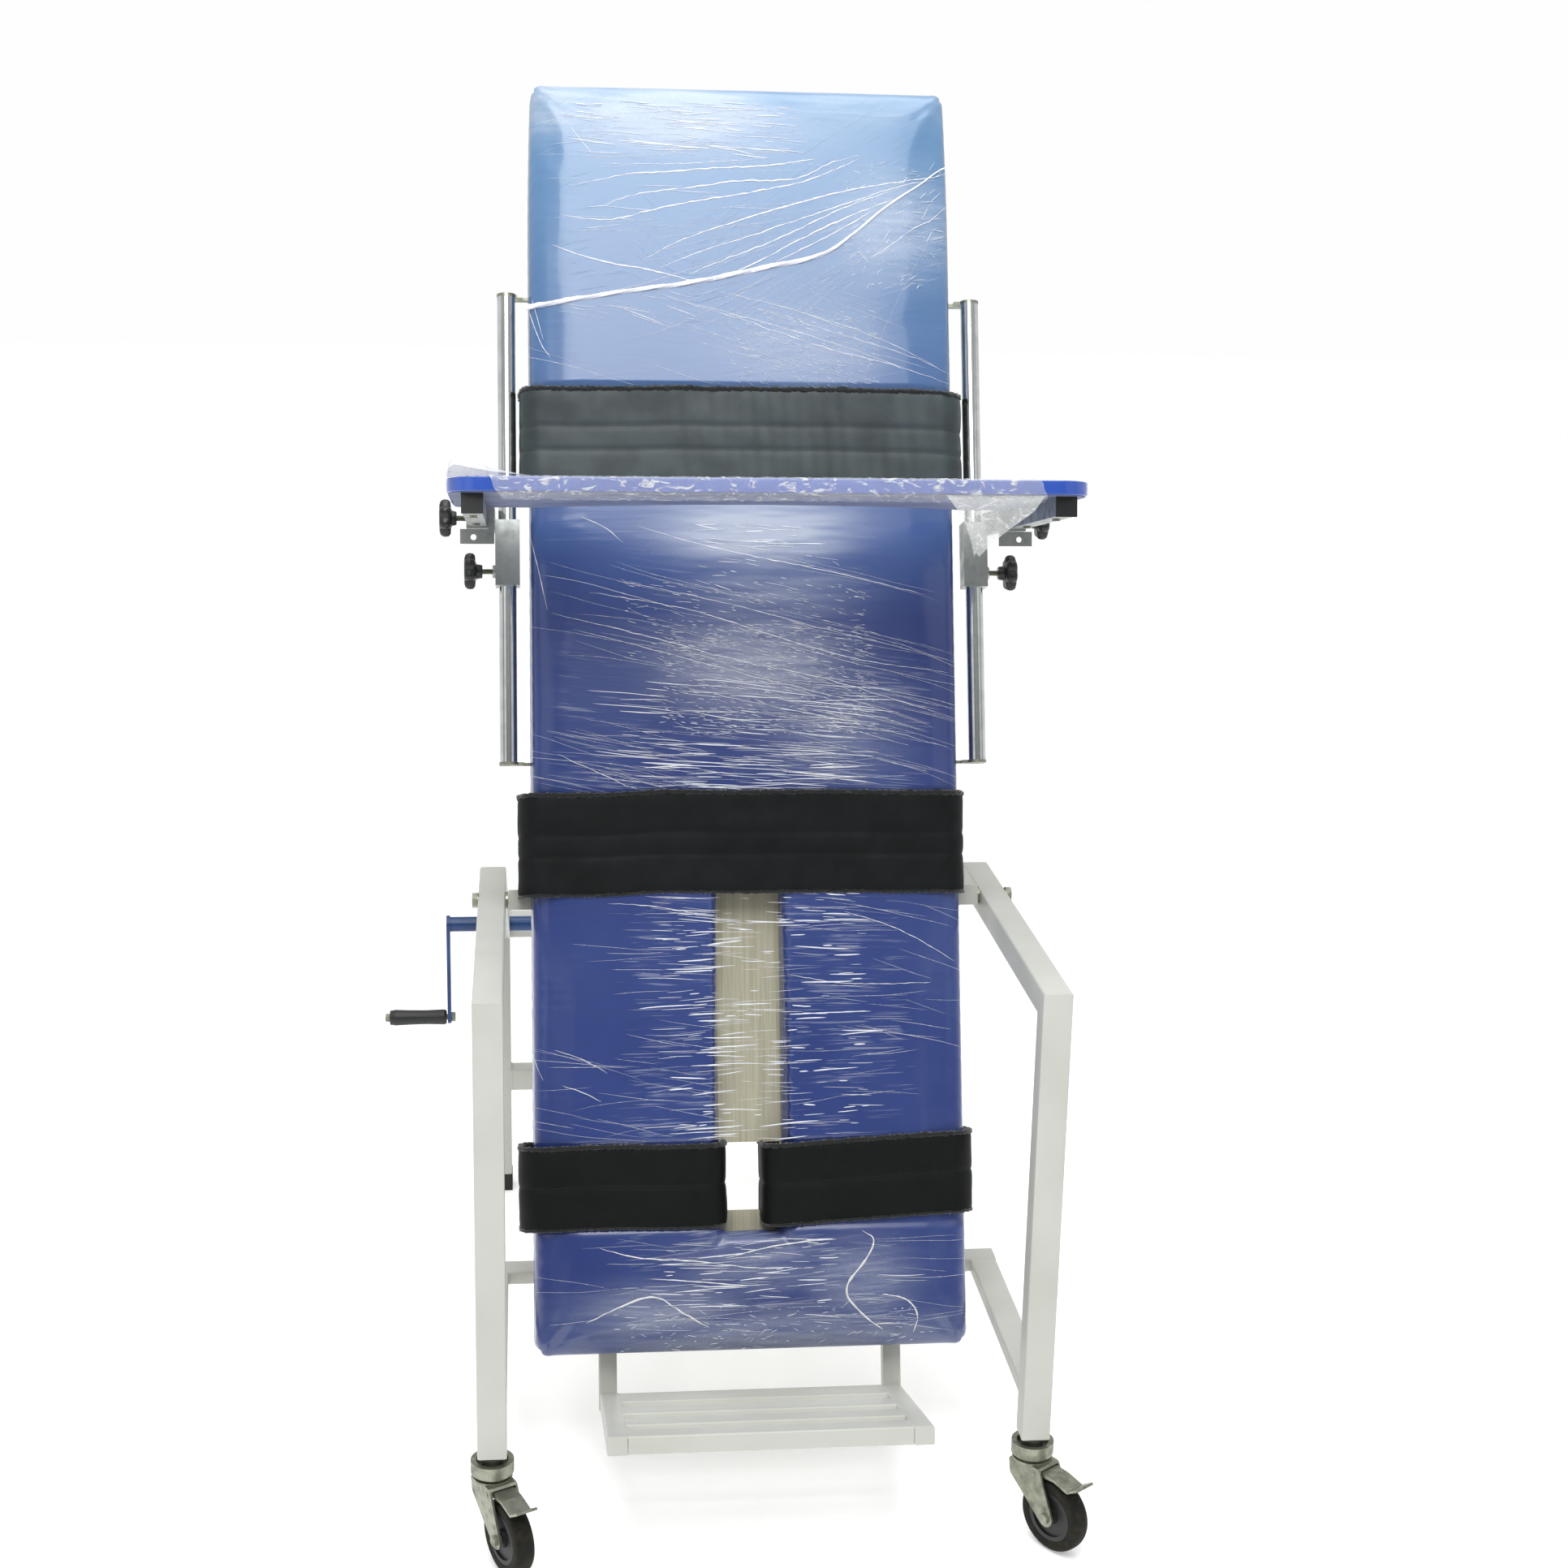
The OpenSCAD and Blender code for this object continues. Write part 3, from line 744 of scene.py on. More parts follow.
@dataclass(frozen=True)
class WrappedVinyl(Finish):
    """Glossy upholstery vinyl under clear stretch film.

    The film draws long fine ridges across the pad that catch white light, and where it
    is gathered, as the mesh attributes say, it turns milky; the milk attribute also carries
    painted highlights, white patches that stand for reflections of the lights. Towards the
    head end the blue is painted lighter, a painted reflection of the light from above.
    """

    # Painted light: the lighter blue laid over the vinyl up the board, between the two heights
    # below, is a painted reflection of the light from above.
    wrapped: str = "#5D84A8"
    wraps_from: float = 380.0
    wraps_to: float = 1150.0
    ridge_white: float = 0.15
    # How far the milky film and the painted highlights turn the blue pale.
    milk_white: float = 0.5

    def dress(self, tree: Tree, shader: Node, place: Socket) -> None:
        """Lays white ridges over blue vinyl, 3 mm high lines up to 200 mm long.

        Args:
            tree: the material's node tree.
            shader: its Principled shader.
            place: Object coordinates in metres.
        """
        along = board_place(tree, place)
        gather = attribute(tree, "gather", "Fac")
        milk = attribute(tree, "milk", "Fac")
        slope = attribute(tree, "slope", "Vector")
        fine = noise_at(tree, slope, (90.0, 60.0, 2.6), 3, 0.5)
        broad = noise_at(tree, slope, (160.0, 90.0, 7.0), 4, 1.2)
        crackle = noise_at(tree, along, (5.0, 9.0, 4.0), 4, 1.5)
        limit = calc(tree, "MULTIPLY_ADD", gather, -0.16, 0.74)
        lines = ramp_between(tree, calc(tree, "SUBTRACT", fine, limit), 0.0, 0.05)
        bands = ramp_between(tree, calc(tree, "SUBTRACT", broad, limit), 0.0, 0.12)
        flecks = calc(tree, "MULTIPLY", ramp_between(tree, crackle, 0.50, 0.64), milk)
        ridges = calc(tree, "MAXIMUM", calc(tree, "MAXIMUM", lines, bands), flecks)
        strength = calc(tree, "MULTIPLY", gather, self.ridge_white, clamp=True)
        white = calc(tree, "MULTIPLY", ridges, strength)
        shade = ramp_between(tree, noise_at(tree, along, 220.0, 3), 0.35, 0.7)
        vinyl = blend_colour(tree, shade, self.colour, self.second)
        # Painted light: up the board the blue turns lighter, a painted reflection of the light
        # from above.
        up = add_node(tree, "ShaderNodeSeparateXYZ", links={0: along}).outputs["Z"]
        top_light = ramp_between(tree, up, self.wraps_from * MM, self.wraps_to * MM)
        vinyl = blend_colour(tree, top_light, vinyl, self.wrapped)
        # Milky film and painted highlights: where the milk attribute is high the blue turns pale
        # grey-white, and some of these patches are painted reflections of the lights.
        haze_and_highlight = calc(tree, "MULTIPLY", milk, self.milk_white)
        hazed_and_highlit = blend_colour(tree, haze_and_highlight, vinyl, "#CDD3DC")
        colour = blend_colour(tree, white, hazed_and_highlit, "#EEF2FA")
        tree.links.new(colour, shader.inputs["Base Color"])
        self.gloss(tree, shader, milk)
        height = calc(tree, "ADD", broad, ridges)
        self.relief(tree, shader, height, self.grain_depth_mm)


@dataclass(frozen=True)
class Leatherette(Finish):
    """Embossed leatherette with sewn lines, whose UV runs along and across the strap."""

    stitch_rows: tuple[float, ...] = ()
    stitch_mm: float = 4.5
    thread_half_mm: float = 0.7
    thread: str = "#3c4242"

    def dress(self, tree: Tree, shader: Node, place: Socket) -> None:
        """Draws stitches 4.5 mm apart and 1.4 mm wide in the sewn rows over a 1.3 mm grain.

        Args:
            tree: the material's node tree.
            shader: its Principled shader.
            place: Object coordinates in metres.
        """
        surface = add_node(tree, "ShaderNodeUVMap", {"uv_map": "surface"}).outputs["UV"]
        parts = add_node(tree, "ShaderNodeSeparateXYZ", links={0: surface})
        lumps = ramp_between(tree, noise_at(tree, place, self.mottle_mm, 4), *self.mottle)
        leather = blend_colour(tree, lumps, self.colour, self.second)
        run = calc(tree, "MULTIPLY", parts.outputs["X"], 1000.0 / self.stitch_mm)
        dash = ramp_between(tree, calc(tree, "FRACT", run), 0.30, 0.25)
        colour, thread = leather, None
        for row in self.stitch_rows:
            near = calc(tree, "COMPARE", parts.outputs["Y"], row * MM, self.thread_half_mm * MM)
            thread = near if thread is None else calc(tree, "MAXIMUM", thread, near)
        if thread is not None:
            sewn = calc(tree, "MULTIPLY", thread, dash)
            colour = blend_colour(tree, sewn, leather, self.thread)
        tree.links.new(colour, shader.inputs["Base Color"])
        self.gloss(tree, shader, lumps)
        cells = add_node(
            tree,
            "ShaderNodeTexVoronoi",
            {"feature": "SMOOTH_F1"},
            {"Scale": 1000.0 / self.grain_mm},
            {"Vector": place},
        ).outputs["Distance"]
        self.relief(tree, shader, cells, self.grain_depth_mm)


@dataclass(frozen=True)
class ClearFilm(Finish):
    """Loose stretch film: nearly clear, white along its creases."""

    clear: float = 0.05
    crease: float = 0.36

    def dress(self, tree: Tree, shader: Node, place: Socket) -> None:
        """Makes creases some 20 mm long and 3 mm wide show white on a clear sheet.

        Args:
            tree: the material's node tree.
            shader: its Principled shader.
            place: Object coordinates in metres.
        """
        folds = noise_at(tree, place, (20.0, 20.0, 9.0), 3, 1.6)
        ridge = ramp_between(tree, folds, 0.56, 0.66)
        shader.inputs["Base Color"].default_value = linear(self.colour)
        cover = add_node(
            tree,
            "ShaderNodeMapRange",
            values={"To Min": self.clear, "To Max": self.crease},
            links={"Value": ridge},
        ).outputs["Result"]
        tree.links.new(cover, shader.inputs["Alpha"])
        self.gloss(tree, shader, ridge)
        self.relief(tree, shader, folds, self.grain_depth_mm)


# Powder-coated steel: a faint orange peel of about 2 mm under a satin gloss.
POWDER = Finish("powder_coated_steel", "painted frame", "#C2C3BC", "#BABBB3", 0.38,
                grain_mm=2.2, grain_depth_mm=0.03, mottle_mm=140.0)
# Air-dried paint on a casting, duller and a little darker than the frame.
GREY_PAINT = Finish("painted_casting", "grey paint", "#A9AEAA", "#9CA19D", 0.5,
                    grain_mm=1.2, grain_depth_mm=0.08)
# Blue enamel brushed on steel: glossy, with slight runs.
ENAMEL = Finish("blue_enamel", "blue paint", "#0F3F7C", "#0C315F", 0.34,
                grain_mm=6.0, grain_depth_mm=0.05, coat=0.12)
# Hard chrome plate: mirror bright with faint handling marks.
CHROME = Finish("chrome_plate", "chrome tube", "#DADDDD", "#C4C8C8", 0.07, metallic=1.0,
                grain_mm=0.8, grain_depth_mm=0.003, rough_spread=0.12, mottle_mm=25.0)
# Zinc-plated pressed steel: grey with an olive cast and cloudy gloss.
ZINC = Finish("zinc_plated_steel", "zinc steel", "#989A8A", "#74756A", 0.34, metallic=0.85,
              grain_mm=1.0, grain_depth_mm=0.03, rough_spread=0.2, mottle_mm=14.0)
# Mill-finish steel of the slider boxes, brushed along their length.
SLIDER_STEEL = Finish("brushed_mild_steel", "zinc steel", "#A9ADAA", "#858A88", 0.36,
                      metallic=0.8, grain_mm=(0.7, 0.7, 12.0), grain_depth_mm=0.02,
                      rough_spread=0.18, mottle_mm=22.0)
# Turned steel: fine rings, bright.
MACHINED = Finish("turned_steel", "machined steel", "#A3A5A6", "#8C8E8F", 0.28, metallic=1.0,
                  grain_mm=(8.0, 0.5, 0.5), grain_depth_mm=0.01)
# Cast and turned brass of the screw's nut.
BRASS = Finish("turned_brass", "brass nut", "#B9933F", "#A5803A", 0.3, metallic=1.0,
               grain_mm=0.6, grain_depth_mm=0.01)
# Moulded glass-filled nylon: near black, satin.
NYLON = Finish("moulded_nylon", "black plastic", "#191A1B", "#232425", 0.36,
               grain_mm=0.6, grain_depth_mm=0.02, rough_spread=0.15)
# Grey moulded polypropylene of the wheel centres.
WHEEL_PLASTIC = Finish("moulded_polypropylene", "grey plastic", "#232425", "#1A1A18", 0.5,
                       grain_mm=0.8, grain_depth_mm=0.03)
# Tyre rubber with brown road dust in its pores.
TYRE = Finish("tyre_rubber", "black rubber", "#12120D", "#2C2718", 0.74, ior=1.35, mottle_mm=9.0,
              mottle=(0.45, 0.75), grain_mm=0.9, grain_depth_mm=0.08)
# Moulded rubber of the rear feet.
RUBBER = Finish("moulded_rubber", "black rubber", "#1B1C1C", "#2A2B2A", 0.7,
                grain_mm=0.8, grain_depth_mm=0.05)
# Plywood, sanded but not varnished.
PLYWOOD = PlywoodFinish("sanded_plywood", "plywood", "#BFBBA4", "#A8A48E", 0.72,
                        grain_depth_mm=0.05)
# Upholstery vinyl under stretch film.
VINYL = WrappedVinyl("wrapped_vinyl", "blue vinyl", "#2C3C76", "#384980", 0.24,
                     grain_depth_mm=0.16, rough_spread=0.25, coat=0.35)
# Leatherette of the chest strap, with two sewn lines: the same black as the hip strap, painted
# lighter and grey-green as painted light, for the light from above that it catches more.
LIT_CHEST_LEATHER = Leatherette("grey_leatherette", "black leatherette", "#343E40", "#2A3234",
                            0.46, ior=1.4, grain_mm=1.3, grain_depth_mm=0.06, mottle_mm=50.0,
                            stitch_rows=(14.0, -20.0), thread="#1a1d1d")
# Leatherette of the hip strap: black.
HIP_LEATHER = Leatherette("black_leatherette", "black leatherette", "#111516", "#0D1011",
                          0.55, ior=1.25, grain_mm=1.3, grain_depth_mm=0.06, mottle_mm=50.0,
                          stitch_rows=(14.0, -16.0), thread="#0e0f0f")
# Leatherette of the leg straps: black, with one sewn line.
LEG_LEATHER = Leatherette("black_leatherette_leg", "black leatherette", "#0F1111",
                          "#0B0D0D", 0.56, ior=1.25, grain_mm=1.3, grain_depth_mm=0.06,
                          mottle_mm=50.0, stitch_rows=(2.0,), thread="#2a2d2d")
# Napped fastener pile along the straps' edges: dark, soft and without gloss.
PILE = Finish("napped_pile", "black leatherette", "#0E0F0F", "#1C1E1E", 0.95,
              mottle_mm=2.0, grain_mm=0.9, grain_depth_mm=0.5, sheen=0.35)
# Laminated tray board, blue, with a polished edge.
LAMINATE = Finish("blue_laminate", "blue tray edge", "#2A4BA2", "#3557AE", 0.2,
                  grain_mm=12.0, grain_depth_mm=0.05, coat=0.5, mottle_mm=120.0)
# Grey backing sheet under the tray.
BACKING = Finish("grey_backing", "blue tray edge", "#6E7590", "#5C6486", 0.6,
                 grain_mm=2.0, grain_depth_mm=0.04)
# Ridges of stretch film drawn into strands: white and shiny.
FILM_RIDGE = Finish("film_strands", "blue vinyl", "#F4F6FB", "#E2E8F4", 0.25,
                    mottle_mm=30.0, grain_mm=3.0, grain_depth_mm=0.05, coat=0.6)
# Film drawn into long tight ridges: hardly whiter than the vinyl under it.
FILM_TIGHT = ClearFilm("film_tight_ridges", "blue vinyl", "#F6F8FC", "#F6F8FC", 0.25,
                       grain_depth_mm=0.1, clear=0.3, crease=0.6)
# Film gathered into folds: milky, with white creases.
FILM_FOLD = ClearFilm("film_folds", "blue vinyl", "#FFFFFF", "#FFFFFF", 0.3,
                      grain_depth_mm=0.2, clear=0.7, crease=1.0)
# The same film drawn tight over the tray's edge, clearer and with finer creases.
TIGHT_FILM = ClearFilm("stretch_film_tight", "blue vinyl", "#EDEFEC", "#EDEFEC", 0.16,
                       grain_depth_mm=0.3, rough_spread=0.3, clear=0.12, crease=0.42)
# Clear stretch film, loose over the tray's ends.
FILM = ClearFilm("stretch_film", "blue vinyl", "#EDEFEC", "#EDEFEC", 0.16,
                 grain_depth_mm=0.5, rough_spread=0.3, clear=0.3, crease=0.62)

NODE_FINISHES: dict[Finish, tuple[str, ...]] = {
    POWDER: ("top_rails", "front_posts", "slope_rails", "rear_legs", "lower_side_rails",
             "cross_tubes", "spine_tubes", "crank_brackets", "jack_outer_tube",
             "board_side_tubes", "board_cross_tubes", "jack_lug", "footrest_stems",
             "footrest_frame"),
    GREY_PAINT: ("gearbox_housing", "gearbox_cover"),
    RUBBER: ("rear_feet",),
    TYRE: ("caster_tyre_left", "caster_tyre_right"),
    NYLON: ("post_plugs", "pivot_bushes", "crank_grip", "height_knob_left",
            "height_knob_right", "depth_knob_left", "depth_knob_right",
            "footrest_knob_left", "footrest_knob_right", "arm_caps"),
    WHEEL_PLASTIC: ("caster_hub_left", "caster_hub_right"),
    ZINC: ("pivot_bolts", "caster_heads", "caster_fork_left", "caster_fork_right",
           "caster_axle_left", "caster_axle_right", "brake_pedal_left",
           "brake_pedal_right", "grip_bolt", "tray_bolts", "rail_brackets"),
    SLIDER_STEEL: ("rail_sliders", "tray_arms"),
    MACHINED: ("drive_bevel", "screw_bevel", "jack_screw", "jack_inner_tube", "jack_eye"),
    BRASS: ("jack_nut",),
    ENAMEL: ("crank_shaft", "crank_arm"),
    CHROME: ("chrome_rails",),
    PLYWOOD: ("ply_board",),
    VINYL: ("pad",),
    HIP_LEATHER: ("chest_strap", "hip_strap", "left_leg_strap", "right_leg_strap"),
    LAMINATE: ("tray_board",),
}


def finish_piece(piece: Piece, finish: Finish, body: str, *nodes: str) -> Piece:
    """Gives a piece its finish and body, and lets it stand for CAD nodes.

    Args:
        piece: the object, in place.
        finish: its finish.
        body: the CAD body that it moves with.
        *nodes: the CAD nodes that it replaces.

    Returns:
        The piece.
    """
    piece.data.materials.clear()
    piece.data.materials.append(finish.material())
    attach(piece, body)
    if nodes:
        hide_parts(*nodes)
    LOG.info("%s rides on %s, %d faces", piece.name, body, len(piece.data.polygons))
    return piece


# ---- base frame -----------------------------------------------------------------------------


@dataclass
class BaseFrame:
    """The welded base: side frames, rear legs, lower rails and cross tubes."""

    layout: Layout = LAYOUT
    corner_r: float = 3.0
    weld_r: float = 2.6
    weld_ripple_mm: float = 3.2
    spine_x: float = 150.0

    def build(self) -> None:
        """Builds every tube with rounded corners, and the weld beads at the joints."""
        lay, at = self.layout, self.layout.machine()
        half = lay.tube / 2
        mid_rail = lay.rail_h - half
        low_mid = lay.low_rail_h - lay.cross_h / 2
        leg_y = lay.rear_leg_y + half
        slope_end = lay.rear_leg_h - half
        sides = Shell("side_frames")
        legs = Shell("rear_leg_tubes")
        lows = Shell("lower_rail_tubes")
        for side in Side:
            x = side.value * lay.side_x
            run = [(x, half, lay.post_foot), (x, half, mid_rail),
                   (x, lay.top_rail_l, mid_rail), (x, lay.rear_leg_y, slope_end)]
            sides.grid(at.place(tube_run(run, X_AXIS, lay.tube, lay.tube,
                                         self.corner_r, upright_end=True)))
            leg = [(x, leg_y, lay.foot_h), (x, leg_y, lay.rear_leg_h)]
            legs.grid(at.place(tube_run(leg, X_AXIS, lay.tube, lay.tube, self.corner_r)))
            low = [(x, lay.tube, low_mid), (x, lay.low_rail_l - lay.tube, low_mid)]
            lows.grid(at.place(tube_run(low, X_AXIS, lay.tube, lay.cross_h, self.corner_r)))
        cross = Shell("cross_members")
        span = lay.side_x - half
        front = lay.low_rail_l - half
        rows = [(front, low_mid, lay.base_w / 2, lay.cross_h),
                (leg_y, lay.rear_leg_h - half, span, lay.tube),
                (leg_y, lay.rear_cross_h - half, span, lay.tube)]
        for y, z, reach, high in rows:
            line = [(-reach, y, z), (reach, y, z)]
            cross.grid(at.place(tube_run(line, Y_AXIS, lay.tube, high, self.corner_r)))
        for x in (-self.spine_x, self.spine_x):
            line = [(x, lay.low_rail_l, low_mid), (x, lay.rear_leg_y, low_mid)]
            cross.grid(at.place(tube_run(line, X_AXIS, lay.tube, lay.cross_h, self.corner_r)))
        finish_piece(sides.build(), POWDER, "base", "front_posts", "top_rails", "slope_rails")
        finish_piece(legs.build(), POWDER, "base", "rear_legs")
        finish_piece(lows.build(), POWDER, "base", "lower_side_rails")
        finish_piece(cross.build(), POWDER, "base", "cross_tubes", "spine_tubes")
        self.build_welds(low_mid, leg_y, span)

    def build_welds(self, low_mid: float, leg_y: float, span: float) -> None:
        """Lays a rippled fillet bead round each joint of the base.

        Args:
            low_mid: middle height of the lower rails.
            leg_y: middle of the rear legs.
            span: inner half distance between the side frames.
        """
        lay, at = self.layout, self.layout.machine()
        half = lay.tube / 2
        shell = Shell("weld_beads")
        for side in Side:
            x = side.value * lay.side_x
            inner = side.value * span
            self.bead(shell, at, (x, lay.tube, low_mid), X_AXIS, Z_AXIS, lay.tube - 6, lay.cross_h)
            self.bead(shell, at, (x, lay.rear_leg_y, lay.rear_leg_h - half - 1), X_AXIS,
                      Z_AXIS, lay.tube - 6, lay.tube)
            for z in (lay.rear_leg_h - half, lay.rear_cross_h - half):
                self.bead(shell, at, (inner, leg_y, z), Y_AXIS, Z_AXIS, lay.tube - 3, lay.tube - 3)
        finish_piece(shell.build(), POWDER, "base")

    def bead(
        self,
        shell: Shell,
        at: Axes,
        centre: Sequence[float],
        across: np.ndarray,
        up: np.ndarray,
        w: float,
        d: float,
    ) -> None:
        """Adds a bead: a circle carried round a rounded rectangle, rippled every 3 mm.

        Args:
            shell: the piece that it goes into.
            at: the base's axes.
            centre: the joint's middle in millimetres.
            across: unit vector of the joint's width.
            up: unit vector of its height.
            w: width.
            d: height.
        """
        loop = rounded_rectangle(w + 1, d + 1, 3.0, 3)
        loop = np.vstack([loop, loop[:1]])
        steps = np.linalg.norm(np.diff(loop, axis=0), axis=1)
        length = np.concatenate([[0], np.cumsum(steps)])
        even = np.linspace(0, length[-1], 72, endpoint=False)
        line = np.stack([np.interp(even, length, loop[:, i]) for i in (0, 1)], 1)
        angle = np.linspace(0, 2 * np.pi, 8, endpoint=False)
        out = line / np.linalg.norm(line, axis=1)[:, None]
        ripple = self.weld_r * (1 + 0.16 * np.sin(even * 2 * np.pi / self.weld_ripple_mm))
        normal = np.cross(across, up)
        spine = np.array(centre)[None] + line[:, :1] * across + line[:, 1:] * up
        outward = out[:, :1] * across + out[:, 1:] * up
        ring = (np.cos(angle)[None, :, None] * outward[:, None]
                + np.sin(angle)[None, :, None] * normal[None, None])
        shell.grid(at.place(spine[:, None] + ripple[:, None, None] * ring), wrap_rows=True)


# ---- board ----------------------------------------------------------------------------------


@dataclass
class Pad:
    """The padded top in glossy vinyl, wrapped in stretch film, with the leg channel."""

    half_w: float = 305.0
    top: float = 1154.0
    bottom: float = -630.0
    front: float = 72.0
    back: float = 26.0
    slot_half: float = 44.0
    slot_top: float = 60.0
    slot_low: float = -464.0
    voxel_mm: float = 8.0
    edge_r: float = 34.0
    swell_mm: float = 6.0
    pressure: float = 4.0
    cloth_frames: int = 20
    corner_r: float = 26.0
    rim_drop: float = 19.0
    slot_r: float = 14.0
    slot_drop: float = 8.0
    lip_drop: float = 5.0
    crown: float = 2.5
    strap_press: float = 1.5
    pressed: tuple[tuple[int, int], ...] = ((577, 713), (16, 140), (-452, -340))

    def build(self, node: Piece) -> None:
        """Builds the pad from its CAD solid: inflated, rounded and gathered by film.

        Args:
            node: the CAD node "pad".
        """
        piece = bpy.data.objects.new("vinyl_pad", node.data.copy())
        bpy.context.scene.collection.objects.link(piece)
        self.remesh(piece)
        self.inflate(piece)
        subdivide = piece.modifiers.new("smooth", "SUBSURF")
        subdivide.levels = subdivide.render_levels = 1
        apply_modifiers(piece)
        self.shape(piece)
        self.mark_film(piece)
        piece.data.polygons.foreach_set("use_smooth", np.ones(len(piece.data.polygons), bool))
        finish_piece(piece, VINYL, "board", "pad")
        FilmRidges().build(piece)

    def remesh(self, piece: Piece) -> None:
        """Merges the CAD triangles, draws them in by 2 mm and makes even quads of them.

        Args:
            piece: the pad.
        """
        work = bmesh.new()
        work.from_mesh(piece.data)
        bmesh.ops.remove_doubles(work, verts=work.verts, dist=1e-5)
        work.to_mesh(piece.data)
        work.free()
        frame = LAYOUT.board()
        local = to_local(frame, mesh_points(piece))
        middle_n = -(self.front + self.back) / 2
        local[:, 1] = middle_n + (local[:, 1] - middle_n) * 0.90
        set_mesh_points(piece, frame.place(local))
        remesh = piece.modifiers.new("even", "REMESH")
        remesh.mode = "VOXEL"
        remesh.voxel_size = self.voxel_mm * MM
        apply_modifiers(piece)

    def inflate(self, piece: Piece) -> None:
        """Swells the pad as cloth under pressure, held at its back, capped at swell_mm.

        Args:
            piece: the pad.
        """
        frame = LAYOUT.board()
        start = mesh_points(piece)
        local = to_local(frame, start)
        held = np.flatnonzero(-local[:, 1] < self.back + 6)
        group = piece.vertex_groups.new(name="held")
        group.add(held.tolist(), 1.0, "REPLACE")
        cloth = piece.modifiers.new("cloth", "CLOTH")
        cloth.settings.use_pressure = True
        cloth.settings.uniform_pressure_force = self.pressure
        cloth.settings.effector_weights.gravity = 0.0
        cloth.settings.vertex_group_mass = "held"
        cloth.settings.quality = 3
        cloth.point_cache.frame_start = 1
        cloth.point_cache.frame_end = self.cloth_frames
        scene = bpy.context.scene
        for number in range(1, self.cloth_frames + 1):
            scene.frame_set(number)
        made = piece.evaluated_get(bpy.context.evaluated_depsgraph_get())
        moved = np.zeros(len(made.data.vertices) * 3)
        made.data.vertices.foreach_get("co", moved)
        piece.modifiers.remove(cloth)
        step = moved.reshape(-1, 3) - start
        far = np.linalg.norm(step, axis=1, keepdims=True)
        cap = self.swell_mm * MM
        step *= np.minimum(1.0, cap / np.maximum(far, 1e-9))
        set_mesh_points(piece, start + step)
        scene.frame_set(1)

    def shape(self, piece: Piece) -> None:
        """Rounds the front's edges with a quarter ellipse and presses the straps in.

        The drop at a distance e from the edge is D (1 - sqrt(1 - ((R - e) / R)^2)).

        Args:
            piece: the pad.
        """
        frame = LAYOUT.board()
        local = to_local(frame, mesh_points(piece))
        s, n, t = local[:, 0].copy(), -local[:, 1], local[:, 2].copy()
        n = np.clip(n, self.back, None)
        lift = np.clip((n - self.back) / (self.front - self.back), 0, 1)
        edge = np.minimum.reduce([self.half_w - np.abs(s), self.top - t, t - self.bottom])
        inside = np.clip((self.edge_r - edge) / self.edge_r, 0, 1)
        drop = self.rim_drop * (1 - np.sqrt(1 - inside**2))
        slot_gap = np.maximum(np.abs(s) - self.slot_half,
                              np.maximum(t - self.slot_top, self.slot_low - t))
        near_slot = np.clip((self.slot_r - slot_gap) / self.slot_r, 0, 1)
        drop += self.slot_drop * (1 - np.sqrt(1 - near_slot**2))
        lower_lip = np.exp(-(((t - self.slot_low + 14) / 22) ** 2))
        drop += self.lip_drop * lower_lip * np.exp(-((s / 70) ** 4))
        points = np.stack([s, n, t], 1)
        waves = soft_noise(points, (300, 900, 120), 3) * 0.45
        waves += soft_noise(points, (160, 900, 22), 4) * 0.07
        press = np.zeros_like(t)
        for low, high in self.pressed:
            press = np.maximum(press, soft_box(t, low, high, 9.0))
        crown = self.crown * (1 - (s / self.half_w) ** 2)
        top_limit = self.front + 1.0
        swell = waves * (1 - press) - self.strap_press * press + crown * (1 - press)
        n_new = n - lift * drop + lift * swell
        n_new = np.where(lift > 0.5, np.minimum(n_new, top_limit + 3 - 3 * press), n_new)
        s *= 1 - 0.016 * np.clip((t - 900) / 250, 0, 1) ** 2
        round_corner = self.corner_pull(s, t)
        s -= np.sign(s) * round_corner[0]
        t -= np.sign(t - 200) * round_corner[1]
        s = np.clip(s, -self.half_w - 2, self.half_w + 2)
        local = np.stack([s, -n_new, t], 1)
        set_mesh_points(piece, frame.place(local))

    def corner_pull(self, s: np.ndarray, t: np.ndarray) -> tuple[np.ndarray, np.ndarray]:
        """Gives how far points near the four outline corners move in, to round them.

        Args:
            s: places across the board.
            t: places up the board.

        Returns:
            The moves in s and in t, in millimetres.
        """
        radius = self.corner_r
        right = np.abs(s) - (self.half_w - radius)
        far_t = np.where(t > 200, t - (self.top - radius), (self.bottom + radius) - t)
        inside = (right > 0) & (far_t > 0)
        reach = np.hypot(right, far_t)
        big = np.maximum(np.maximum(right, far_t), 1e-6)
        scale = np.where(inside & (reach > 0), big / np.maximum(reach, 1e-6), 1.0)
        return (np.where(inside, right * (1 - scale), 0.0),
                np.where(inside, far_t * (1 - scale), 0.0))

    def mark_film(self, piece: Piece) -> None:
        """Writes how gathered and how milky the film is, with painted highlights in the milk, and
        which way its ridges run.

        Args:
            piece: the pad.
        """
        frame = LAYOUT.board()
        local = to_local(frame, mesh_points(piece))
        s, t = local[:, 0], local[:, 2]
        gather = np.zeros_like(t)
        for low, high, left, right, value in (
            (930, 1130, -290, 200, 0.55), (800, 980, -60, 300, 0.75),
            (860, 905, -300, 120, 0.6), (610, 760, 0, 300, 0.35),
            (395, 470, -150, 160, 0.5), (150, 340, -240, 240, 0.85),
            (20, 170, -180, 180, 0.9), (-350, 0, -150, 190, 1.0),
            (-620, -450, -170, 180, 0.9),
        ):
            span = soft_box(t, low, high, 35.0) * soft_box(s, left, right, 60.0)
            gather = np.maximum(gather, value * span)
        milk = np.zeros_like(t)
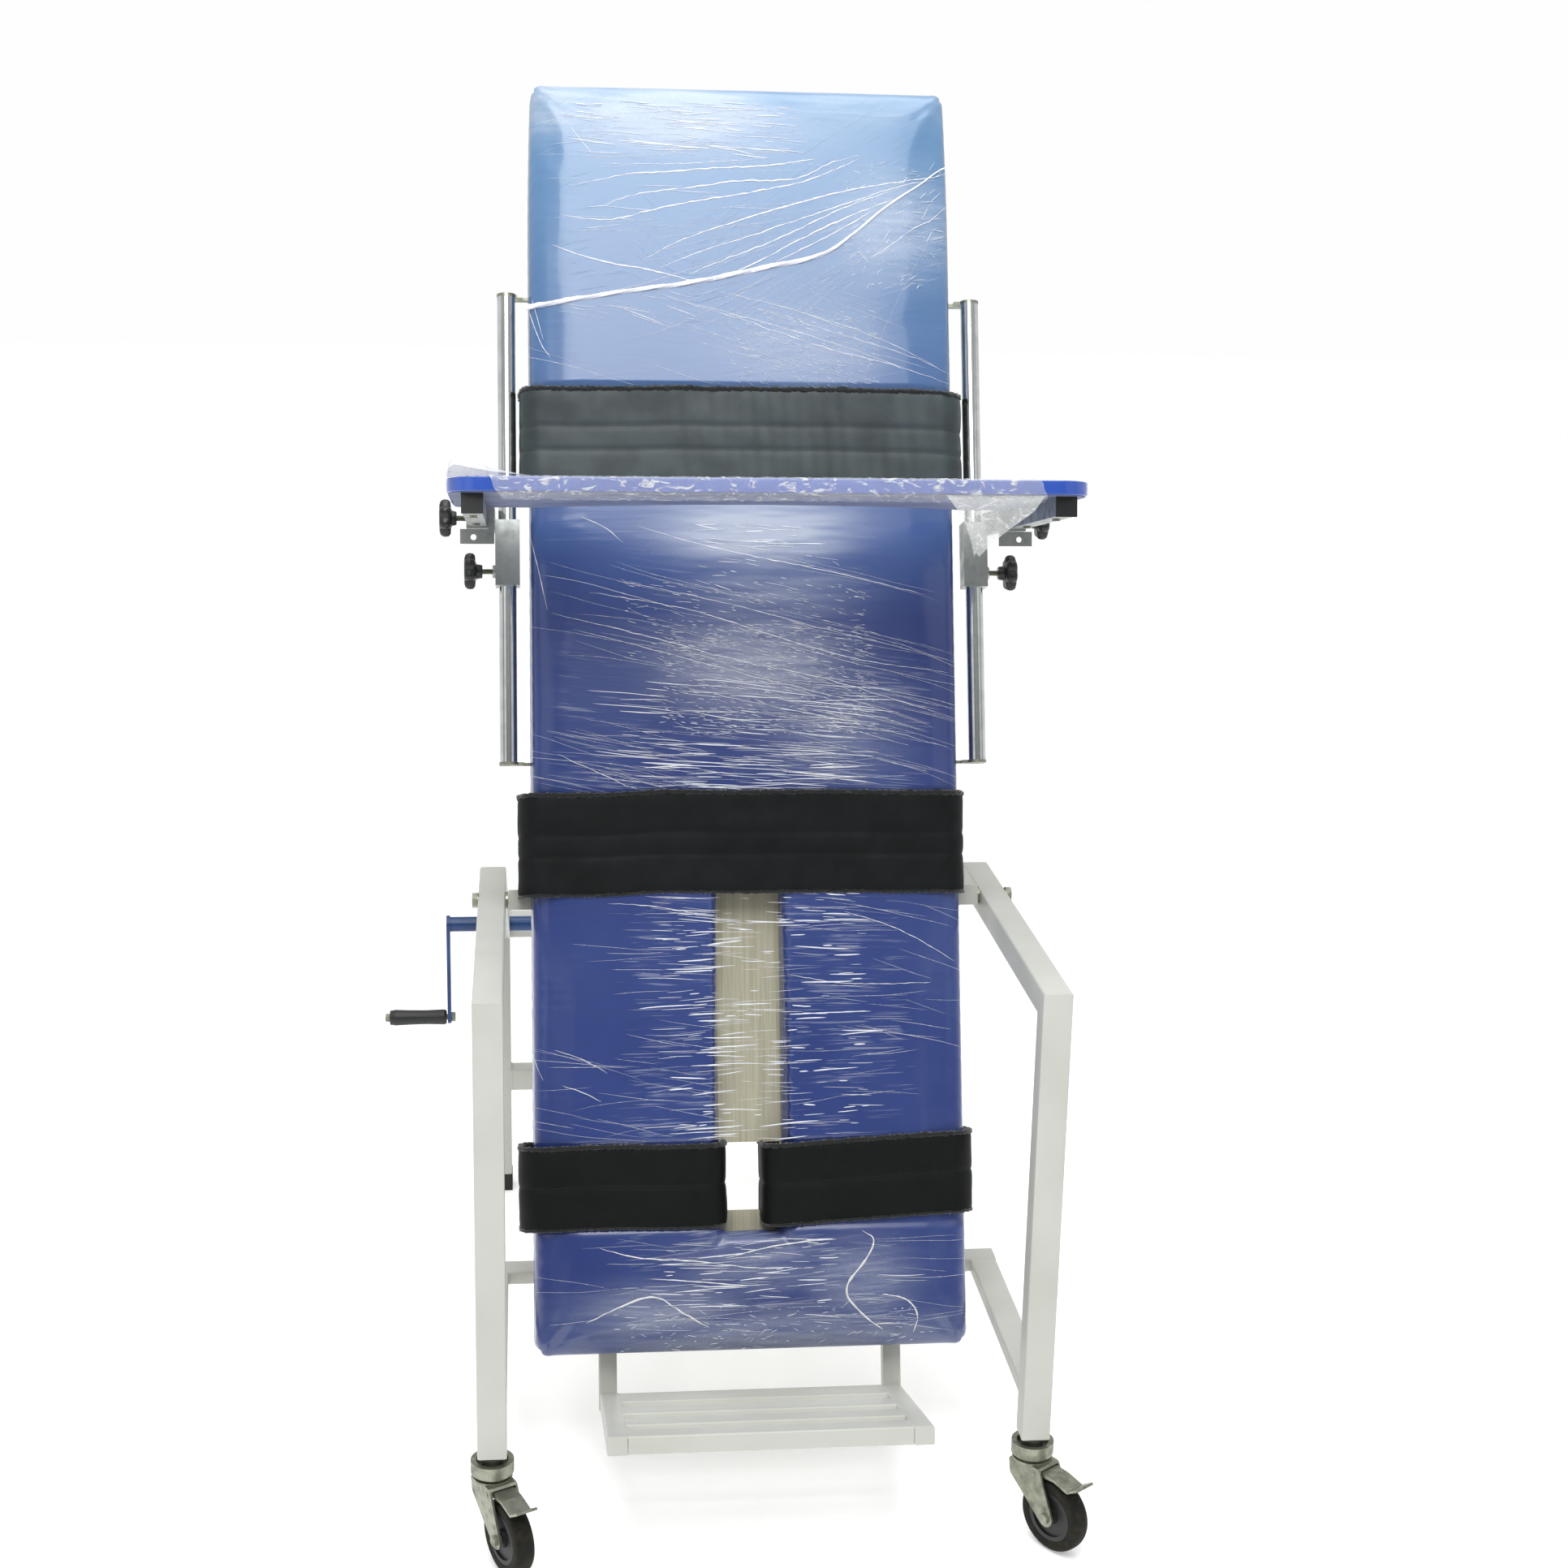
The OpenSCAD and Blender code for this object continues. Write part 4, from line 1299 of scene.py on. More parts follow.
        # Milky film, with painted highlights: the patches along the head end's top edge and its
        # left corner, and the strong one at t 495 to 525 just below the tray, are painted
        # reflections of the lights; the rest are milky film.
        for low, high, left, right, value in (
            (1075, 1110, -210, 60, 0.7), (1100, 1140, -300, -180, 0.8),
            (1085, 1125, -190, 0, 1.5), (900, 1000, 190, 260, 0.6),
            (1125, 1150, 40, 270, 0.4), (190, 300, 70, 170, 0.3),
            (740, 800, 20, 150, 0.4), (495, 525, -60, 90, 1.3),
            (285, 370, -60, 80, 0.8), (410, 440, -30, 110, 0.5),
            (-640, -590, -170, 230, 0.6), (-575, -560, -190, -60, 0.6),
            (-560, -500, 120, 170, 0.45), (-520, -490, -60, 60, 0.35),
        ):
            reach = ((t - (low + high) / 2) / ((high - low) / 2 + 34)) ** 2
            reach += ((s - (left + right) / 2) / ((right - left) / 2 + 60)) ** 2
            milk = np.maximum(milk, value * np.exp(-1.3 * reach**1.3))
        lumpy = soft_noise(local, (90, 90, 18), 9)
        milk = np.clip(milk * (0.9 + 0.2 * lumpy), 0, 1)
        gather = np.clip(gather * (0.8 + 0.3 * soft_noise(local, (120, 90, 60), 8)), 0, 1)
        add_attribute(piece, "gather", gather)
        add_attribute(piece, "milk", milk)
        tilt = np.where(t > 500, -0.42 * (t - 500) / 400, 0.06 + 0.0004 * t)
        fan = np.clip((t - 700) / 200, 0, 1) * soft_box(s, -50, 330, 120.0)
        bent = t + s * tilt * 0.6 + fan * 0.0014 * (s - 300) ** 2 * 0.5
        slope = np.stack([s, local[:, 1], bent], 1) * MM
        made = piece.data.attributes.new("slope", "FLOAT_VECTOR", "POINT")
        made.data.foreach_set("vector", slope.ravel())


@dataclass
class Panel:
    """The plywood panel under the pad, drawn in a little behind the pad's round rim."""

    across: float = 0.972
    along: float = 0.990
    middle_t: float = 262.0

    def build(self, node: Piece) -> None:
        """Builds the panel from its CAD solid.

        Args:
            node: the CAD node "ply_board".
        """
        piece = bpy.data.objects.new("ply_panel", node.data.copy())
        bpy.context.scene.collection.objects.link(piece)
        frame = LAYOUT.board()
        local = to_local(frame, mesh_points(piece))
        local[:, 0] *= self.across
        local[:, 2] = self.middle_t + (local[:, 2] - self.middle_t) * self.along
        set_mesh_points(piece, frame.place(local))
        finish_piece(piece, PLYWOOD, "board", "ply_board")


@dataclass(frozen=True)
class Bundle:
    """A patch of film ridges: where they lie, how they run and how thick they are.

    Lengths are millimetres on the board. The angle, its spread and its sign are degrees
    from level, and fan, where given, is a point (s, t) that the ridges run towards.
    """

    count: int
    s: tuple[float, float]
    t: tuple[float, float]
    length: tuple[float, float]
    width: tuple[float, float]
    angle: float = 0.0
    spread: float = 3.0
    bend: float = 0.0004
    fan: tuple[float, float] | None = None


# Long folds of the film: greatest width, then points (s, t) on the board, in millimetres.
FOLDS: tuple[tuple[float, tuple[tuple[int, int], ...]], ...] = (
    (2.6, ((-141, 893), (-88, 923), (-24, 946), (49, 970), (123, 992), (192, 1008),
           (270, 1019), (301, 1033))),
    (2.0, ((-121, 881), (-56, 909), (8, 929), (90, 959), (151, 980), (225, 1007), (278, 1018))),
    (2.2, ((-77, 874), (-16, 900), (49, 925), (122, 963), (171, 985), (225, 1002))),
    (2.6, ((-33, 869), (20, 892), (73, 922), (130, 951), (188, 977), (229, 990))),
    (2.2, ((48, 895), (97, 918), (150, 948), (192, 973))),
    (1.4, ((182, 899), (211, 920), (240, 943), (273, 960), (296, 983))),
    (2.6, ((-254, 956), (-220, 951), (-176, 950), (-140, 962), (-88, 975), (-31, 985),
           (29, 996), (90, 1010), (127, 1025), (172, 1047))),
    (2.6, ((-196, 969), (-160, 986), (-112, 994), (-55, 1001), (-3, 1011), (50, 1010),
           (90, 1016), (123, 1037), (172, 1051))),
    (2.6, ((-164, 1017), (-103, 1020), (-39, 1028), (34, 1031), (107, 1043))),
    (1.0, ((-195, 1030), (-135, 1031), (-71, 1033), (-7, 1039), (42, 1043))),
    (1.2, ((-245, 997), (-204, 1006), (-164, 1015), (-131, 1020))),
    (1.2, ((-243, 1086), (-227, 1066), (-207, 1042))),
    (2.6, ((-266, 915), (-232, 900), (-193, 890), (-133, 881), (-89, 870), (-65, 864))),
    (1.2, ((-121, 847), (-65, 830), (-9, 814), (47, 795), (119, 771), (188, 756), (257, 736),
           (300, 724))),
    (1.0, ((-57, 854), (7, 843), (80, 824), (148, 804), (209, 781), (282, 745))),
    (1.0, ((-90, 838), (-20, 820), (60, 800), (140, 776), (230, 744))),
    (0.9, ((20, 826), (90, 806), (160, 786), (240, 762), (300, 738))),
    (1.4, ((-298, 820), (-283, 774), (-269, 754))),
    (1.0, ((-294, 838), (-286, 806), (-279, 780))),
    (1.2, ((-153, 518), (-66, 492), (28, 472), (123, 454), (218, 431), (253, 422))),
    (1.0, ((-229, 530), (-194, 515), (-171, 495))),
    (1.2, ((-270, 395), (-195, 377), (-125, 360), (-20, 330), (73, 312), (132, 298), (274, 253))),
    (1.2, ((-218, 424), (-137, 412), (-67, 398), (15, 371), (98, 345), (186, 324), (287, 312))),
    (1.2, ((-263, 199), (-220, 179), (-174, 158), (-151, 149))),
    (1.0, ((-301, 512), (-287, 453), (-276, 400))),
    (0.9, ((-240, 372), (-150, 350), (-50, 322), (60, 294), (160, 270), (260, 236))),
    (0.9, ((-180, 440), (-90, 424), (20, 398), (120, 370), (220, 348))),
    (0.9, ((-120, 300), (-20, 276), (80, 256), (180, 236), (290, 204))),
    (1.2, ((-196, -7), (-133, -11), (-87, -20), (-42, -29))),
    (1.2, ((132, -22), (190, -40), (236, -61), (289, -94))),
    (1.2, ((50, -107), (107, -120), (177, -124), (253, -122))),
    (1.2, ((-271, -207), (-237, -217), (-198, -240))),
    (1.2, ((-260, -256), (-232, -265), (-207, -279))),
    (1.2, ((-305, -198), (-294, -232), (-286, -249))),
    (4.0, ((151, -462), (171, -474), (156, -503), (120, -543), (149, -578), (178, -599))),
    (3.0, ((179, -550), (215, -557), (229, -581), (220, -604))),
    (3.4, ((-230, -578), (-190, -560), (-155, -546), (-131, -544), (-103, -565), (-62, -589))),
    (2.2, ((-212, -476), (-166, -492), (-108, -496), (-61, -500), (-3, -510), (38, -511))),
    (2.0, ((-131, -521), (-85, -525), (-38, -531), (9, -534))),
    (2.6, ((-38, -495), (45, -477), (115, -473))),
)


# The flat diamond that each strand of film has for a section, in half widths and heights.
STRAND_SECTION = np.array([(-1, 0), (0, 1), (1, 0), (0, -0.5)])


@dataclass
class FilmRidges:
    """Ridges of stretch film drawn tight over the pad, as thin lens-shaped strands."""

    points: int = 14
    short_points: int = 6
    short: float = 26.0
    edge: float = 303.0
    fold_edge: float = 304.0
    lift: float = 0.3
    height: float = 0.7
    seed: int = 19

    def bright(self) -> list[Bundle]:
        """Gives the patches of short shiny ridges from the head end down.

        Returns:
            The bundles, in the order in which they are drawn.
        """
        return [
            Bundle(110, (-235, 80), (1045, 1122), (12, 90), (0.4, 1.7), -2.0, 3.0),
            Bundle(12, (-225, 20), (935, 1040), (30, 120), (0.4, 1.2), 4.0, 4.0),
            Bundle(120, (150, 285), (860, 1040), (5, 26), (0.4, 1.0), 12.0, 32.0),
            Bundle(12, (-240, -60), (805, 850), (20, 90), (0.4, 1.2), -12.0, 4.0),
            Bundle(360, (-20, 190), (716, 830), (4, 16), (0.3, 0.8), -16.0, 7.0),
            Bundle(30, (-60, 100), (486, 524), (12, 70), (0.5, 1.6), -3.0, 4.0),
            Bundle(20, (-60, 130), (430, 490), (8, 40), (0.4, 1.1), -12.0, 8.0),
            Bundle(760, (-120, 180), (225, 380), (4, 18), (0.3, 0.8), -8.0, 7.0),
            Bundle(200, (-170, 170), (330, 440), (4, 22), (0.3, 0.8), -12.0, 6.0),
            Bundle(100, (-180, 170), (150, 300), (24, 130), (0.4, 1.4), -4.0, 2.0),
            Bundle(56, (-120, 130), (146, 215), (30, 140), (0.4, 1.9), -1.0, 2.0),
            Bundle(60, (-150, 150), (-60, 6), (12, 80), (0.4, 1.8), -3.0, 2.5),
            Bundle(80, (-120, -20), (-334, -40), (12, 84), (0.4, 2.2), 2.0, 2.5),
            Bundle(80, (30, 160), (-334, -30), (12, 90), (0.4, 2.2), 0.0, 2.5),
            Bundle(50, (-60, 60), (-338, -60), (10, 60), (0.4, 1.8), 1.0, 2.5),
            Bundle(80, (-120, 110), (-560, -470), (10, 84), (0.4, 1.8), 0.0, 3.0),
            Bundle(36, (-170, 220), (-600, -520), (10, 70), (0.4, 1.2), -3.0, 4.0),
            Bundle(120, (-190, 250), (-620, -560), (4, 16), (0.3, 0.9), 4.0, 20.0),
        ]

    def faint(self) -> list[Bundle]:
        """Gives the patches of long thin ridges, drawn tight and hardly white.

        Returns:
            The bundles, in the order in which they are drawn.
        """
        return [
            Bundle(20, (-240, 60), (930, 1110), (80, 240), (0.4, 1.0), 1.0, 4.0),
            Bundle(26, (-120, 210), (800, 980), (160, 340), (0.4, 0.9), fan=(300, 1000),
                   spread=1.0),
            Bundle(26, (-250, 250), (722, 850), (80, 240), (0.4, 0.9), -16.0, 2.0),
            Bundle(30, (-200, 240), (280, 470), (160, 330), (0.4, 0.9), -13.0, 1.5),
            Bundle(40, (60, 290), (170, 340), (80, 200), (0.4, 0.9), -15.0, 3.0),
            Bundle(26, (-285, -100), (146, 230), (60, 170), (0.4, 0.9), -12.0, 4.0),
            Bundle(50, (-200, 180), (148, 260), (80, 220), (0.4, 0.9), -3.0, 3.0),
            Bundle(40, (-200, 200), (-338, 4), (60, 170), (0.4, 0.9), 0.0, 5.0),
            Bundle(18, (-300, -60), (-338, -200), (60, 200), (0.4, 0.8), -9.0, 5.0),
            Bundle(14, (120, 300), (-200, -20), (60, 200), (0.4, 0.8), -10.0, 5.0),
            Bundle(36, (-280, 280), (-600, -470), (60, 200), (0.4, 0.8), -2.0, 5.0),
        ]

    def build(self, pad: Piece) -> None:
        """Lays all strands on the pad's face, over the leg channel too, and the rope.

        Args:
            pad: the finished pad, whose face the strands follow.
        """
        face = FaceHeight(pad)
        shiny = Shell("film_ridges")
        for number, bundle in enumerate(self.bright()):
            self.lay(shiny, face, bundle, self.seed + number)
        finish_piece(shiny.build(180.0), FILM_RIDGE, "board")
        tight = Shell("film_tight_ridges")
        for number, bundle in enumerate(self.faint()):
            self.lay(tight, face, bundle, self.seed + 100 + number)
        finish_piece(tight.build(180.0), FILM_TIGHT, "board")
        drawn = Shell("film_folds")
        for number, (width, knots) in enumerate(FOLDS):
            self.fold(drawn, face, np.array(knots, float), width, self.seed + number)
        finish_piece(drawn.build(180.0), FILM_FOLD, "board")
        self.rope(face)

    def fold(
        self, shell: Shell, face: "FaceHeight", knots: np.ndarray, width: float, seed: int
    ) -> None:
        """Adds one long fold through given points, uneven in width and fading at its ends.

        Args:
            shell: the piece that takes it.
            face: the pad's face.
            knots: points N x 2 on the board in millimetres.
            width: its greatest width in millimetres.
            seed: fixes its unevenness.
        """
        for _ in range(3):
            first, last = knots[:1], knots[-1:]
            near = 0.75 * knots[:-1] + 0.25 * knots[1:]
            far = 0.25 * knots[:-1] + 0.75 * knots[1:]
            knots = np.vstack([first, np.stack([near, far], 1).reshape(-1, 2), last])
        step = np.hypot(*np.diff(knots, axis=0).T)
        run = np.concatenate([[0], np.cumsum(step)])
        even = np.linspace(0, run[-1], max(8, int(run[-1] / 4)))
        s, t = (np.interp(even, run, knots[:, i]) for i in (0, 1))
        place = np.stack([even, 0 * even, 0 * even], 1)
        t = t + 0.5 * soft_noise(place, (34, 1, 1), seed)
        thin = np.sqrt(np.clip(1 - (2 * even / run[-1] - 1) ** 2, 0.01, 1))
        thin *= 0.75 + 0.25 * soft_noise(place, (22, 1, 1), seed + 7)
        half = width / 2 * np.clip(thin, 0.12, None)
        ahead = np.arctan2(np.gradient(t), np.gradient(s))
        ca, sa = np.cos(ahead)[:, None], np.sin(ahead)[:, None]
        s4 = s[:, None] - sa * half[:, None] * STRAND_SECTION[:, 0]
        t4 = t[:, None] + ca * half[:, None] * STRAND_SECTION[:, 0]
        n4 = (face.at(s, t) + self.lift)[:, None] + 0.45 * half[:, None] * STRAND_SECTION[:, 1]
        s4 = np.clip(s4, -self.fold_edge, self.fold_edge)
        shell.grid(LAYOUT.board().place(np.stack([s4, -n4, t4], -1)))

    def lay(self, shell: Shell, face: "FaceHeight", bundle: Bundle, seed: int) -> None:
        """Adds one bundle: each strand is an arc that thins towards its ends.

        Args:
            shell: the piece that takes the strands.
            face: the pad's face.
            bundle: the bundle.
            seed: fixes its random draws.
        """
        rng = np.random.default_rng(seed)
        k = bundle.count
        s0 = rng.uniform(*bundle.s, k)
        t0 = rng.uniform(*bundle.t, k)
        length = rng.uniform(0, 1, k) ** 1.6 * (bundle.length[1] - bundle.length[0])
        length += bundle.length[0]
        width = rng.uniform(0, 1, k) ** 1.8 * (bundle.width[1] - bundle.width[0])
        width += bundle.width[0]
        angle = np.full(k, np.radians(bundle.angle))
        if bundle.fan is not None:
            angle = np.arctan2(bundle.fan[1] - t0, bundle.fan[0] - s0)
        angle += np.radians(rng.normal(0, bundle.spread, k))
        bend = rng.normal(0, bundle.bend, k)
        points = self.short_points if bundle.length[1] <= self.short else self.points
        along = np.linspace(-0.5, 0.5, points)
        u = along[None] * length[:, None]
        wave = bend[:, None] * u**2 + 0.5 * np.sin(u / 17 + rng.uniform(0, 6, (k, 1)))
        ca, sa = np.cos(angle)[:, None], np.sin(angle)[:, None]
        s = s0[:, None] + u * ca - wave * sa
        t = t0[:, None] + u * sa + wave * ca
        s = np.clip(s, -self.edge, self.edge)
        thin = np.sqrt(np.clip(1 - (2 * along) ** 2, 0.004, 1))[None]
        half = width[:, None] * thin / 2
        n = face.at(s, t) + self.lift
        rise = np.minimum(self.height, 0.7 * width[:, None]) * thin
        s4 = s[..., None] - sa[..., None] * half[..., None] * STRAND_SECTION[:, 0]
        t4 = t[..., None] + ca[..., None] * half[..., None] * STRAND_SECTION[:, 0]
        n4 = n[..., None] + rise[..., None] * STRAND_SECTION[:, 1]
        grids = LAYOUT.board().place(np.stack([s4, -n4, t4], -1))
        for strand in grids:
            shell.grid(strand)

    def rope(self, face: "FaceHeight") -> None:
        """Adds the twisted edge of the film that crosses the head end from side to side.

        Args:
            face: the pad's face.
        """
        knots = np.array([(-303, 826), (-233, 837), (-153, 851), (-73, 862), (8, 880),
                          (48, 890), (113, 902), (150, 927), (191, 965), (229, 994),
                          (270, 1016), (303, 1054)])
        s = np.linspace(-303, 303, 220)
        t = np.interp(s, knots[:, 0], knots[:, 1])
        t = np.convolve(np.pad(t, 12, "edge"), np.ones(25) / 25, "valid")
        run = np.concatenate([[0], np.cumsum(np.hypot(np.diff(s), np.diff(t)))])
        angle = np.linspace(0, 2 * np.pi, 14, endpoint=False)
        radius = np.interp(s, (-303, -200, 60, 130, 303), (3.4, 2.6, 3.2, 2.4, 0.8))
        fold = 1 + 0.28 * np.sin(3 * angle[None] + run[:, None] / 9)
        fold += 0.10 * np.sin(7 * angle[None] - run[:, None] / 4)
        ring = radius[:, None] * fold
        n = face.at(s, t) + 0.8
        body = np.stack([s[:, None] + 0 * ring, -(n[:, None] + 0.7 * ring * np.sin(angle)),
                         t[:, None] + ring * np.cos(angle)], -1)
        shell = Shell("film_rope").grid(LAYOUT.board().place(body))
        finish_piece(shell.build(180.0), FILM_FOLD, "board")


class FaceHeight:
    """The height of the pad's face on a grid, with the leg channel bridged over."""

    def __init__(self, pad: Piece, cell: float = 9.0) -> None:
        """Takes the highest point of the pad in each cell and fills the channel.

        Args:
            pad: the finished pad.
            cell: size of a cell in millimetres.
        """
        local = to_local(LAYOUT.board(), mesh_points(pad))
        s, n, t = local[:, 0], -local[:, 1], local[:, 2]
        self.cell = cell
        self.low = np.array([s.min(), t.min()])
        shape = (int(np.ptp(s) / cell) + 1, int(np.ptp(t) / cell) + 1)
        i = np.clip(((s - self.low[0]) / cell).astype(int), 0, shape[0] - 1)
        j = np.clip(((t - self.low[1]) / cell).astype(int), 0, shape[1] - 1)
        grid = np.full(shape, -99.0)
        np.maximum.at(grid, (i, j), n)
        middle = self.low[0] + (np.arange(shape[0]) + 0.5) * cell
        channel = np.abs(middle) < 62
        rows = self.low[1] + (np.arange(shape[1]) + 0.5) * cell
        open_rows = (rows < 78) & (rows > -478)
        level = np.median(grid[~channel][:, open_rows])
        patch = np.ix_(channel, open_rows)
        grid[patch] = np.maximum(grid[patch], level)
        grid[grid < 0] = level
        self.grid = grid

    def at(self, s: np.ndarray, t: np.ndarray) -> np.ndarray:
        """Gives the height at points by weighting the four nearest cells.

        Args:
            s: places across the board in millimetres.
            t: places up the board.

        Returns:
            Heights above the board's plane.
        """
        a = np.clip((s - self.low[0]) / self.cell - 0.5, 0, self.grid.shape[0] - 1.001)
        b = np.clip((t - self.low[1]) / self.cell - 0.5, 0, self.grid.shape[1] - 1.001)
        i, j = a.astype(int), b.astype(int)
        i1 = np.minimum(i + 1, self.grid.shape[0] - 1)
        j1 = np.minimum(j + 1, self.grid.shape[1] - 1)
        fa, fb = a - i, b - j
        low = self.grid[i, j] * (1 - fa) + self.grid[i1, j] * fa
        high = self.grid[i, j1] * (1 - fa) + self.grid[i1, j1] * fa
        return low * (1 - fb) + high * fb


def soft_box(value: np.ndarray, low: float, high: float, soft: float) -> np.ndarray:
    """Gives 1 between low and high and falls smoothly to 0 over the width soft outside.

    Args:
        value: numbers to test.
        low: the box's lower side.
        high: its upper side.
        soft: width of the fall.

    Returns:
        Weights: c^2 (3 - 2 c), where c falls from 1 to 0 outside.
    """
    outside = np.maximum(low - value, value - high)
    step = np.clip(1 - outside / soft, 0, 1)
    return step * step * (3 - 2 * step)


def add_attribute(piece: Piece, name: str, values: np.ndarray) -> None:
    """Stores one float a vertex under a name.

    Args:
        piece: the piece's object.
        name: the attribute's name.
        values: one number a vertex.
    """
    made = piece.data.attributes.new(name, "FLOAT", "POINT")
    made.data.foreach_set("value", values.astype(np.float32))


def apply_modifiers(piece: Piece) -> None:
    """Replaces a piece's mesh with its evaluated mesh and drops its modifiers.

    Args:
        piece: the piece's object.
    """
    bpy.context.view_layer.update()
    graph = bpy.context.evaluated_depsgraph_get()
    made = bpy.data.meshes.new_from_object(piece.evaluated_get(graph), depsgraph=graph)
    piece.modifiers.clear()
    piece.data = made


@dataclass
class Strap:
    """A padded strap that loops round the board, quilted by its sewn rows."""

    name: str
    node: str
    left: float
    right: float
    middle: float
    width: float
    finish: Leatherette
    thick: float = 8.0
    front: float = 74.0
    back: float = -17.0
    tilt: float = 0.0
    seed: int = 1
    seam: float = 4.2
    puff: float = 1.7
    sag: float = 0.9
    end_drop: float = 3.0
    along_steps: int = 420
    bend_r: float = 26.0

    def build(self) -> None:
        """Builds the strap's closed skin and the napped edging along its upper rim."""
        line, out, length = self.loop()
        skin = self.skin(line, out, length)
        piece = finish_piece(skin.build(80.0), self.finish, "board", self.node)
        self.edging(line, out)

    def loop(self) -> tuple[np.ndarray, np.ndarray, np.ndarray]:
        """Gives the inner loop's points in the (s, n) plane, its outward and its length.

        Returns:
            The points, their outward directions and the length run at each.
        """
        inset = self.thick
        w = self.right - self.left - 2 * inset
        d = self.front - self.back
        outline = rounded_rectangle(w, d, self.bend_r, 10)
        outline += [(self.left + self.right) / 2, (self.front + self.back) / 2]
        closed = np.vstack([outline, outline[:1]])
        steps = np.linalg.norm(np.diff(closed, axis=0), axis=1)
        run = np.concatenate([[0], np.cumsum(steps)])
        even = np.linspace(0, run[-1], self.along_steps, endpoint=False)
        line = np.stack([np.interp(even, run, closed[:, i]) for i in (0, 1)], 1)
        ahead = np.roll(line, -1, 0) - np.roll(line, 1, 0)
        ahead /= np.linalg.norm(ahead, axis=1)[:, None]
        out = np.stack([ahead[:, 1], -ahead[:, 0]], 1)
        return line, out, even

    def quilt(self, across: np.ndarray) -> np.ndarray:
        """Gives the outer face's height: full between seams, drawn in at seam and rim.

        Args:
            across: places across the strap.

        Returns:
            Heights as a share of its thickness.
        """
        rows = [-self.width / 2, *sorted(self.finish.stitch_rows), self.width / 2]
        nearest = np.min([np.abs(across - row) for row in rows], axis=0)
        return self.seam + self.puff * (1 - np.exp(-((nearest / 3.5) ** 1.1)))

    def skin(self, line: np.ndarray, out: np.ndarray, length: np.ndarray) -> Shell:
        """Carries the quilted section along the loop, with a few soft creases.

        Args:
            line: the inner loop's points.
            out: their outward directions.
            length: the length run at each.

        Returns:
            The closed skin, not yet a piece.
        """
        across = np.linspace(-1, 1, 44)
        rim = np.sign(across) * np.abs(across) ** 0.92 * self.width / 2
        outer = self.quilt(rim)
        height = np.concatenate([outer, np.zeros(10)])
        v = np.concatenate([rim, np.linspace(1, -1, 10) * (self.width / 2 - 1.5)])
        v_grid = np.tile(v, (len(line), 1))
        h_grid = np.tile(height, (len(line), 1))
        where = np.stack([np.repeat(line[:, 0], len(v)), np.repeat(line[:, 1], len(v)),
                          v_grid.ravel()], 1)
        wrinkle = soft_noise(where, (38, 60, 120), self.seed).reshape(v_grid.shape)
        broad = soft_noise(where, (170, 200, 90), self.seed + 5).reshape(v_grid.shape)
        outside = (h_grid > 2.5).astype(float)
        h_grid = h_grid + outside * (0.30 * wrinkle + 0.35 * broad)
        h_grid = np.minimum(h_grid, self.thick + 1.2)
        sag = self.sag * soft_noise(where, (240, 300, 900), self.seed + 9).reshape(v_grid.shape)
        ends = ((line[:, 0] - (self.left + self.right) / 2) / 300) ** 2
        t = self.middle + v_grid + sag - self.end_drop * ends[:, None]
        t += np.tan(np.radians(self.tilt)) * line[:, :1]
        s = line[:, :1] + out[:, :1] * h_grid
        n = line[:, 1:] + out[:, 1:] * h_grid
        points = LAYOUT.board().place(np.stack([s, -n, t], -1))
        uv = np.stack([np.tile(length[:, None], (1, len(v))), v_grid], -1) * MM
        return Shell(self.name).grid(points, wrap_rows=True, uv=uv)

    def edging(self, line: np.ndarray, out: np.ndarray) -> None:
        """Adds the napped edging: thin ropes of uneven radius along both rims.

        Args:
            line: the inner loop's points.
            out: their outward directions.
        """
        shell = Shell(self.name + "_edging")
        angle = np.linspace(0, 2 * np.pi, 10, endpoint=False)
        rng = np.random.default_rng(self.seed + 40)
        for rim, radius in ((1, 3.6), (-1, 2.4)):
            where = np.stack([line[:, 0], line[:, 1], np.full(len(line), rim)], 1)
            sag = self.sag * soft_noise(where, (240, 300, 900), self.seed + 9)
            ends = ((line[:, 0] - (self.left + self.right) / 2) / 300) ** 2
            t = self.middle + rim * self.width / 2 + sag - self.end_drop * ends
            t += np.tan(np.radians(self.tilt)) * line[:, 0]
            spine = np.stack([line[:, 0] + out[:, 0] * 3.4, line[:, 1] + out[:, 1] * 3.4, t], 1)
            fuzz = radius * (1 + 0.22 * rng.normal(size=(len(line), len(angle))).clip(-2, 2))
            lean_out = np.stack([out[:, 0], out[:, 1], 0 * t], 1)
            ring = (np.cos(angle)[None, :, None] * lean_out[:, None]
                    + np.sin(angle)[None, :, None] * Z_AXIS[None, None])
            body = spine[:, None] + fuzz[:, :, None] * ring
            body[..., 1] *= -1
            shell.grid(LAYOUT.board().place(body), wrap_rows=True)
        finish_piece(shell.build(80.0), PILE, "board")


# ---- tray -----------------------------------------------------------------------------------


